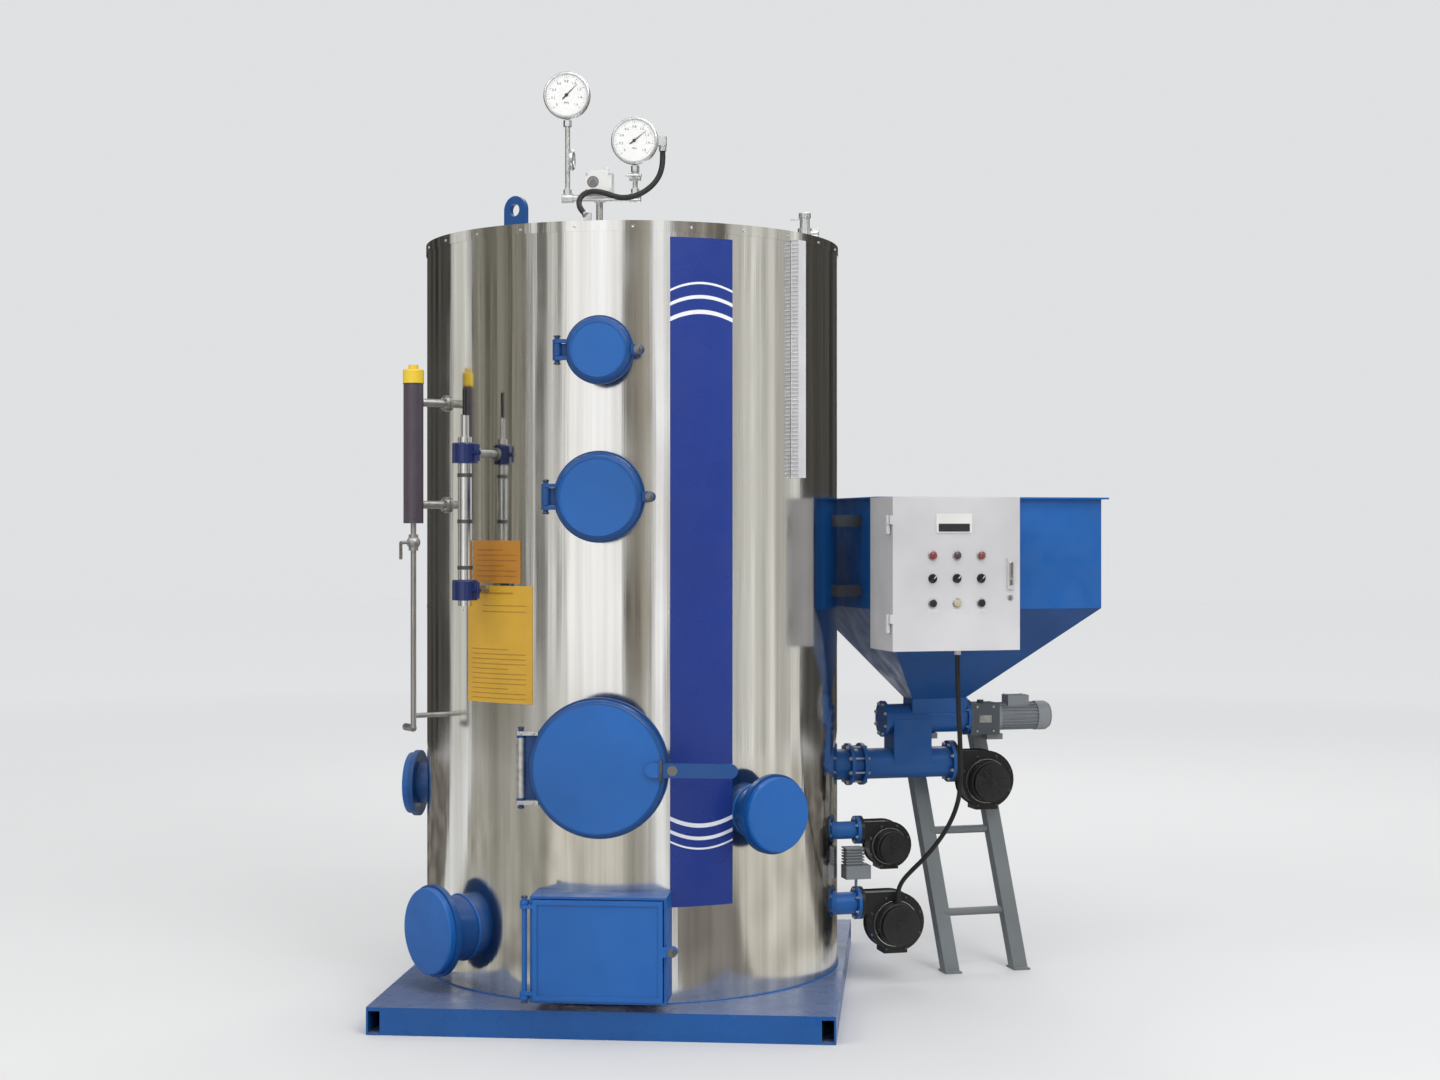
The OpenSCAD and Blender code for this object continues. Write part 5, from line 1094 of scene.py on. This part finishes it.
# Place along the feeder, across it and above the floor, bolt circle, count, size and way of the nuts
FLANGES = [
    (0.770, 0, FEED_Z, FEED_CIRCLE, 8, 0.013, -1), (0.830, 0, FEED_Z, FEED_CIRCLE, 8, 0.013, 1),
    (1.148, 0, FEED_Z, FEED_CIRCLE, 8, 0.013, -1), (0.900, 0, TROUGH_Z, 0.0560, 8, 0.011, -1),
    (1.208, 0, TROUGH_Z, 0.0590, 6, 0.008, -1), (0.733, -0.200, 0.280, 0.0470, 6, 0.011, -1),
    (0.733, -0.200, 0.530, 0.0390, 6, 0.010, -1),
]
feed_bolts = []
for u, v, z, radius, count, across, way in FLANGES:
    nut = bolt_head(across, zinc)
    nut.data.transform(facing_feeder(way))
    places = [Matrix.Translation((u, v + dv, z + dz)) for dv, dz in ring_of(count, radius)]
    feed_bolts += copied(nut, places)
for dv, dz in ring_of(8, FEED_CIRCLE):
    place = (STUD_FROM, dv, FEED_Z + dz)
    stud = disc_piece("feed_stud", 0.004, STUD_TO - STUD_FROM, place, axis=(1, 0, 0), sides=12)
    feed_bolts.append(painted(stud, zinc))
on_feeder("flange_bolts", feed_bolts)
print(len(feed_bolts), "nuts and studs on the feeder")

# %% [markdown]
# ## Blowers and motors
#
# A black blower has a scroll case and a squat motor on its side. A bright ring shows where the motor is let
# into the case, the case is pinched together by small bolts round its rim, and the motor's end has a cover
# with slots for the air. The same three pieces dress all three blowers at their own sizes. The grey gear
# motor gets a slotted cowl end, cover screws and a bare rating plate.

# %% Dress of a blower
MOTOR_SHARE = 0.7
CASE_HALF = 0.040
MOTOR_END = 0.095


def slotted_cover(radius, finish, slots):
    """Round cover facing -Y with slots round its middle."""
    cover = painted(disc_piece("cover", radius, 0.004, sides=40, bevel=0.0012), finish)
    slot = box_piece("slot", (radius * 0.085, 0.0008, radius * 0.42), (0, -0.0042, radius * 0.60), 0.0003, 1)
    turns = [Matrix.Rotation(math.tau * k / slots, 4, "Y") for k in range(slots)]
    slot_copies = copied(painted(slot, mark_black), turns)
    hub = disc_piece("cover_hub", radius * 0.20, 0.002, (0, -0.004, 0), sides=24, bevel=0.0008)
    return joined("cover", [cover, *slot_copies, painted(hub, finish)])


def dress_blower(name, u, v, z, radius):
    """Bright ring, case bolts and slotted motor cover of one blower, in the feeder's axes."""
    motor_r = radius * MOTOR_SHARE
    near, far = motor_r + 0.0005, motor_r + 0.006
    front = v - CASE_HALF
    profile = [(near, 0), (far, 0), (far, 0.003), (near, 0.003)]
    parts = [painted(spun("motor_ring", profile, axis=(0, -1, 0), place=(u, front, z)), chrome)]
    for du, dz in ring_of(8, radius * 0.90):
        bolt = bolt_head(0.008, dark_steel)
        bolt.data.transform(Matrix.Translation((u + du, front, z + dz)))
        parts.append(bolt)
    cover = slotted_cover(motor_r * 0.92, black_enamel, 10)
    cover.data.transform(Matrix.Translation((u, v - MOTOR_END, z)))
    on_feeder(name, [*parts, cover])


dress_blower("feed_blower_trim", 1.2843, 0.0, 0.6628, 0.104)
dress_blower("lower_blower_trim", 0.8693, -0.200, 0.2098, 0.104)
dress_blower("upper_blower_trim", 0.8453, -0.200, 0.4760, 0.080)
print("three blowers dressed")

# %% [markdown]
# The gear motor is one CAD part, but its gearbox is painted a darker slate than its motor. The finish tells
# them apart by place: a Mapping node turns Object coordinates into the feeder's own, and the colour changes
# where the gearbox ends.

# %% Paint of the gear motor
GEARBOX_END = 1.330
GEARBOX_SLATE, MOTOR_GREY = (0.072, 0.088, 0.105), (0.25, 0.27, 0.29)

gear_motor_paint, tree, shader = new_finish("gear_motor_paint", roughness=0.42)
turned = add_node(tree, "Mapping", {"Vector": object_place(tree), "Rotation": (0, 0, -FEEDER_TURN)})
past = maths(tree, "GREATER_THAN", part_of(tree, turned.outputs["Vector"], "X"), GEARBOX_END)
tones = [between(tree, noise_of(tree, 6.0), toned(colour, 0.85), colour)
         for colour in (GEARBOX_SLATE, MOTOR_GREY)]
feed(tree, shader.inputs["Base Color"], mix_of(tree, past, *tones))
shade(tree, shader, noise_of(tree, 15.0, detail=4.0), "Roughness", 0.32, 0.60)
bump(tree, shader, noise_of(tree, 240.0), 0.0001, edge=0.001)
painted(nodes["gear_motor"], gear_motor_paint)
print("gear motor painted up to", GEARBOX_END, "and beyond")

# %% Gear motor's cowl, plate and screws
cowl_end = slotted_cover(0.045, motor_enamel, 14)
cowl_end.data.transform(Matrix.Translation((1.530, 0, TROUGH_Z)) @ facing_feeder(1))
motor_plate = box_piece("motor_plate", (0.046, 0.0008, 0.026), (1.2755, -0.0504, 0.885), 0.0003, 1)
facing_up = Matrix.Rotation(-math.pi / 2, 4, "X")
places = [Matrix.Translation((u, -0.050, z)) for u in (1.2445, 1.3065) for z in (0.842, 0.928)]
places += [Matrix.Translation((u, v, 0.966)) @ facing_up for u in (1.378, 1.442) for v in (-0.024, 0.024)]
motor_parts = [cowl_end, painted(motor_plate, zinc), *copied(pan_screw(), places)]
on_feeder("gear_motor_trim", motor_parts)
print(len(motor_parts), "parts on the gear motor")

# %% [markdown]
# ## Control cabinet
#
# The cabinet's door carries a small display in a pale bezel, three lamps, three selector switches and three
# push buttons, in three columns. Each is built from turned or bevelled primitives that face -Y, set on the
# door in the feeder's axes, and the whole set is turned with the feeder. It rides on the door, so it swings
# with it.

# %% Sizes on the cabinet door
DOOR_FACE_V = -0.6523
DOOR_TOP = 1.666
DOOR_MIDDLE_U = 0.932
LAMP_Z, SWITCH_Z, BUTTON_Z = DOOR_TOP - 0.190, DOOR_TOP - 0.265, DOOR_TOP - 0.345
DISPLAY_U = DOOR_MIDDLE_U - 0.010
LOCK_U, LEVER_Z, LOCK_Z = 1.118, 1.416, 1.338
columns = [DOOR_MIDDLE_U + step for step in (-0.084, 0.0, 0.084)]
panel_parts = []


def on_door(piece, finish, u, z, out=0.0):
    """Finishes a piece made at the origin and sets it on the door, still square to the feeder's axes."""
    if finish:
        painted(piece, finish)
    piece.data.transform(Matrix.Translation((u, DOOR_FACE_V - out, z)))
    panel_parts.append(piece)


def bezel_ring(radius):
    """Turned ring that holds a lamp, a switch or a button."""
    profile = [(0, 0.0), (radius, 0.0), (radius, 0.003), (radius * 0.9, 0.005), (0, 0.005)]
    return spun("bezel_ring", profile, axis=(0, -1, 0), steps=32)


print("door columns at", [round(u, 3) for u in columns])

# %% Display, lamps, switches and buttons
LENS_DOME = [(0.0125, 0.0), (0.0125, 0.004), (0.011, 0.0075), (0.006, 0.0100), (0, 0.0106)]
lamp_grey = moulded("lamp_grey", (0.085, 0.06, 0.07), 0.15)
lamp_brown = moulded("lamp_brown", (0.24, 0.07, 0.06), 0.15)
button_beige = moulded("button_beige", (0.50, 0.42, 0.30))

bezel = box_piece("display_frame", (0.124, 0.004, 0.062), (0, -0.002, 0), 0.0012)
with editing(bezel):
    pick_faces(bezel, lambda centre, normal: at_front(centre, normal) and abs(centre.z) < 0.02)
    bpy.ops.mesh.inset(thickness=0.004)
    bpy.ops.transform.translate(value=(0, 0.0012, 0))
on_door(bezel, pale_plastic, DISPLAY_U, DOOR_TOP - 0.086)
display = box_piece("display", (0.108, 0.0012, 0.026), (0, -0.0030, 0), 0.0004, 1)
on_door(display, smoked_glass, DISPLAY_U, DOOR_TOP - 0.100)

for u, finish in zip(columns, (lamp_red, lamp_grey, lamp_brown)):
    on_door(bezel_ring(0.0160), zinc, u, LAMP_Z)
    on_door(spun("lamp_lens", LENS_DOME, axis=(0, -1, 0), steps=32), finish, u, LAMP_Z, 0.004)
    on_door(bezel_ring(0.0150), black_plastic, u, SWITCH_Z)
    grip = box_piece("switch_grip", (0.008, 0.014, 0.026), (0, -0.010, 0), 0.002)
    mark = box_piece("switch_mark", (0.002, 0.0006, 0.012), (0, -0.0172, 0.006))
    switch = joined("switch", [painted(grip, black_plastic), painted(mark, dial_white)])
    switch.data.transform(Matrix.Rotation(math.radians(40), 4, "Y"))
    on_door(switch, None, u, SWITCH_Z)
for u, finish in zip(columns, (black_plastic, button_beige, black_plastic)):
    on_door(bezel_ring(0.0155), zinc, u, BUTTON_Z)
    on_door(disc_piece("button_cap", 0.0120, 0.008, bevel=0.0018), finish, u, BUTTON_Z, 0.003)
    label = box_piece("button_label", (0.030, 0.0006, 0.010), (0, -0.0003, -0.024))
    on_door(label, pale_plastic, u, BUTTON_Z)
lever = box_piece("lock_lever", (0.015, 0.006, 0.076), (0, -0.003, 0), 0.002)
on_door(lever, chrome, LOCK_U, LEVER_Z, 0.008)
on_door(disc_piece("lock_face", 0.010, 0.003, sides=28, bevel=0.0008), zinc, LOCK_U, LOCK_Z)
on_door(box_piece("key_slot", (0.0022, 0.0006, 0.009), (0, -0.0031, 0)), mark_black, LOCK_U, LOCK_Z)
on_feeder("panel_fittings", panel_parts, "cabinet_door")
print(len(panel_parts), "fittings on the cabinet door")

# %% [markdown]
# ## Level column and level gauge
#
# Two upright instruments stand at the jacket's left. The thick one is a purple-grey column with a yellow
# cap. The slim one is a chrome tube held between two navy valve bodies, and its top rod is black. Each is
# one CAD part, so its paint is told apart by height: Object coordinates of a CAD part are its real place.

# %% Finishes that change with height
def by_height(name, node, colour, metallic, roughness, bands):
    """Plain finish on a CAD part, with painted bands (low, high, colour) along Z."""
    finish, tree, shader = new_finish(name, roughness=roughness)
    height = part_of(tree, object_place(tree), "Z")
    tone = between(tree, noise_of(tree, 6.0), toned(colour, 0.88), colour)
    metal = metallic
    for low, high, band_colour in bands:
        inside = maths(tree, "COMPARE", height, (low + high) / 2, (high - low) / 2)
        tone = mix_of(tree, inside, tone, band_colour)
        metal = mix_of(tree, inside, metal, 0.0, "FLOAT")
    feed(tree, shader.inputs["Base Color"], tone)
    feed(tree, shader.inputs["Metallic"], metal)
    shade(tree, shader, noise_of(tree, 15.0, detail=4.0), "Roughness", roughness * 0.7, roughness * 1.5)
    bump(tree, shader, noise_of(tree, 240.0), 0.0001, edge=0.001)
    painted(nodes[node], finish)


NAVY, BLACK, YELLOW = (0.010, 0.022, 0.105), (0.014, 0.014, 0.016), (0.78, 0.54, 0.03)
PURPLE_GREY, CHROME = (0.070, 0.054, 0.075), (0.78, 0.78, 0.77)
TOP = 2.20
level_bands = [(1.337, 1.403, NAVY), (1.767, 1.833, NAVY), (1.918, TOP, BLACK)]
by_height("column_paint", "level_column", PURPLE_GREY, 0.0, 0.34, [(2.031, TOP, YELLOW)])
by_height("level_gauge_finish", "level_gauge", CHROME, 1.0, 0.16, level_bands)
print("level column and gauge painted by height")

# %% [markdown]
# The column hangs on two arms whose round flanges are bolted to the jacket. The slim gauge has three dark
# bands round its tube, which hold the scale on.

# %% Trim of the level instruments
ARM_AZIMUTH, ARM_FACE, ARM_CIRCLE = -52, 0.7120, 0.0195
GAUGE_AZIMUTH, GAUGE_REACH = -34, 0.795
CLIP = [(0.0222, -0.006), (0.0240, -0.006), (0.0240, 0.006), (0.0222, 0.006)]
arm_places = [round_wall(ARM_AZIMUTH, ARM_FACE, z) @ Matrix.Translation((across, 0, up))
              for z in (1.970, 1.640) for across, up in ring_of(4, ARM_CIRCLE)]
clip_places = [round_wall(GAUGE_AZIMUTH, GAUGE_REACH, z) for z in (1.440, 1.585, 1.730)]
level_parts = copied(bolt_head(0.0068, zinc), arm_places)
level_parts += copied(painted(spun("scale_clip", CLIP, steps=32), dark_steel), clip_places)
joined("level_trim", level_parts, "boiler")
print(len(level_parts), "small parts on the level instruments")

# %% [markdown]
# ## Floor, backdrop and light
#
# A pale floor and an even pale surround show the boiler plainly. The floor's own tone grows paler away from
# the boiler, so that it meets the surround without a line. The mirror jacket needs more, because what it
# shows is its surroundings. So tall cards stand round the boiler, outside the picture: pale, taupe and dark
# ones by turns, with upright streaks that break their edges. Flat strips on the floor, from beside the base
# out to the cards, give the foot of the jacket its warm tones. Only mirrors see the cards and strips, and
# they are no part of the object.

# %% Floor and cards
CARD_HEIGHT, CARD_MIDDLE = 7.0, 3.45
STRIP_ENDS = [(0, -1.15, 0.003), (0, -8.0, 0.003)]


def plane(name, size):
    """Flat square at the origin."""
    bpy.ops.object.select_all(action="DESELECT")
    bpy.ops.mesh.primitive_plane_add(size=size, location=(0.0, 0.0, 0.0))
    panel = bpy.context.active_object
    panel.name = name
    return panel


def card_finish(name, low, high, folds, glow=1.0):
    """Glowing card with upright streaks between two colours, about folds to a metre."""
    finish, tree, shader = new_finish(name, roughness=0.9)
    feed(tree, shader.inputs["Base Color"], (0.0, 0.0, 0.0))
    shade(tree, shader, noise_of(tree, folds, (1, 1, 0.01), 4.0), "Emission Color", low, high, 0.42, 0.58)
    shader.inputs["Emission Strength"].default_value = glow
    return finish


def only_mirrored(panel, finish):
    """Gives a card its finish and hides it from all but mirrors."""
    painted(panel, finish)
    panel.visible_camera = False
    panel.visible_diffuse = False
    panel.visible_shadow = False


def card(name, first, last, distance, finish):
    """Upright card that fills the azimuths from first to last, seen from the boiler's axis."""
    middle, half = math.radians(first + last) / 2, math.radians(last - first) / 2
    panel = plane(name, 1.0)
    panel.scale = (2 * distance * math.tan(half), CARD_HEIGHT, 1.0)
    panel.rotation_euler = (math.pi / 2, 0.0, middle)
    panel.location = (distance * math.sin(middle), -distance * math.cos(middle), CARD_MIDDLE)
    only_mirrored(settle(panel), finish)


# Matt grey that grows paler with the distance from the boiler, from 3.5 m to 14 m, to the backdrop's tone
floor_paint, tree, shader = new_finish("floor_paint", roughness=0.9, specular=0.1)
far_out = length_of(tree, object_place(tree))
paling = {"Value": far_out, "From Min": 3.5, "From Max": 14.0, "To Min": 0.70, "To Max": 0.905}
floor_tone = add_node(tree, "MapRange", paling)
feed(tree, shader.inputs["Base Color"], floor_tone.outputs["Result"])
painted(plane("floor", 80.0), floor_paint)

white_card = card_finish("white_card", (0.88, 0.88, 0.89), (1.0, 1.0, 1.0), 0.5, 1.10)
pale_card = card_finish("pale_card", (0.46, 0.45, 0.41), (0.90, 0.90, 0.86), 1.8)
grey_card = card_finish("grey_card", (0.10, 0.09, 0.075), (0.34, 0.32, 0.28), 2.0)
taupe_card = card_finish("taupe_card", (0.035, 0.032, 0.025), (0.34, 0.32, 0.26), 3.2)
brown_card = card_finish("brown_card", (0.06, 0.052, 0.04), (0.34, 0.31, 0.25), 2.0)
wavy_card = card_finish("wavy_card", (0.05, 0.048, 0.04), (0.85, 0.85, 0.83), 2.6)
dark_card = card_finish("dark_card", (0.014, 0.013, 0.011), (0.085, 0.078, 0.068), 1.6)
floor_brown = card_finish("floor_brown", (0.07, 0.062, 0.052), (0.22, 0.20, 0.17), 2.0)
floor_taupe = card_finish("floor_taupe", (0.16, 0.15, 0.13), (0.48, 0.46, 0.40), 3.0)
floor_cream = card_finish("floor_cream", (0.44, 0.41, 0.35), (0.70, 0.67, 0.60), 1.4)

# First and last azimuth, distance and finish of each card
CARDS = [
    ("card_left_dark", -172, -107, 8.0, dark_card), ("card_left_strip", -106, -90, 8.5, pale_card),
    ("card_left_taupe", -89, -50, 8.5, taupe_card), ("card_left_grey", -50, -30, 9.0, wavy_card),
    ("card_front_white", -29, 2, 9.5, white_card), ("card_front_brown", 3, 18, 9.5, brown_card),
    ("card_right_white", 19, 26, 9.5, white_card), ("card_right_grey", 27, 59, 9.0, grey_card),
    ("card_right_pale", 60, 109, 8.5, pale_card), ("card_far_right", 110, 172, 8.0, dark_card),
]
# First and last azimuth and finish of each strip on the floor
STRIPS = [
    ("floor_left_dark", -172, -107, floor_brown), ("floor_left_taupe", -89, -34, floor_taupe),
    ("floor_front_cream", -34, 3, floor_cream), ("floor_front_grey", 3, 18, floor_taupe),
    ("floor_right_grey", 27, 59, floor_brown), ("floor_right_cream", 59, 109, floor_cream),
    ("floor_far_right", 110, 172, floor_brown),
]
for name, first, last, distance, finish in CARDS:
    card(name, first, last, distance, finish)
for name, first, last, finish in STRIPS:
    only_mirrored(swept(name, STRIP_ENDS, first, last, 12), finish)
print(len(CARDS), "cards and", len(STRIPS), "strips round the boiler")

# %% Light
BACKDROP = (0.93, 0.94, 0.95)
LIT_STRENGTH, SEEN_STRENGTH = 0.88, 0.80
world = bpy.data.worlds.new("surround")
bpy.context.scene.world = world
world.use_nodes = True
tree = world.node_tree
background = tree.nodes["Background"]
ray = add_node(tree, "LightPath", {}).outputs
seen = maths(tree, "MAXIMUM", ray["Is Camera Ray"], ray["Is Glossy Ray"])
seen = maths(tree, "MAXIMUM", seen, ray["Is Transmission Ray"])
feed(tree, background.inputs["Color"], BACKDROP)
feed(tree, background.inputs["Strength"], mix_of(tree, seen, LIT_STRENGTH, SEEN_STRENGTH, "FLOAT"))


def softbox(name, place, target, size, watts):
    """Large soft lamp that looks at a target."""
    data = bpy.data.lights.new(name, "AREA")
    data.shape = "RECTANGLE"
    data.size, data.size_y = size
    data.energy = watts
    aimed(name, data, place, target)


softbox("key", (4.0, -6.0, 6.2), (0.3, 0, 1.3), (2.5, 2.5), 138)
softbox("roof_strip", (1.5, -3.2, 7.0), (0.3, -0.4, 1.3), (6.0, 1.2), 118)
softbox("fill", (-5.0, -5.0, 6.6), (0.2, 0, 1.2), (3.0, 3.0), 75)
softbox("back", (1.0, 6.0, 6.6), (0.3, 0, 1.5), (4.0, 3.0), 140)
print(len(bpy.data.lights), "lamps")
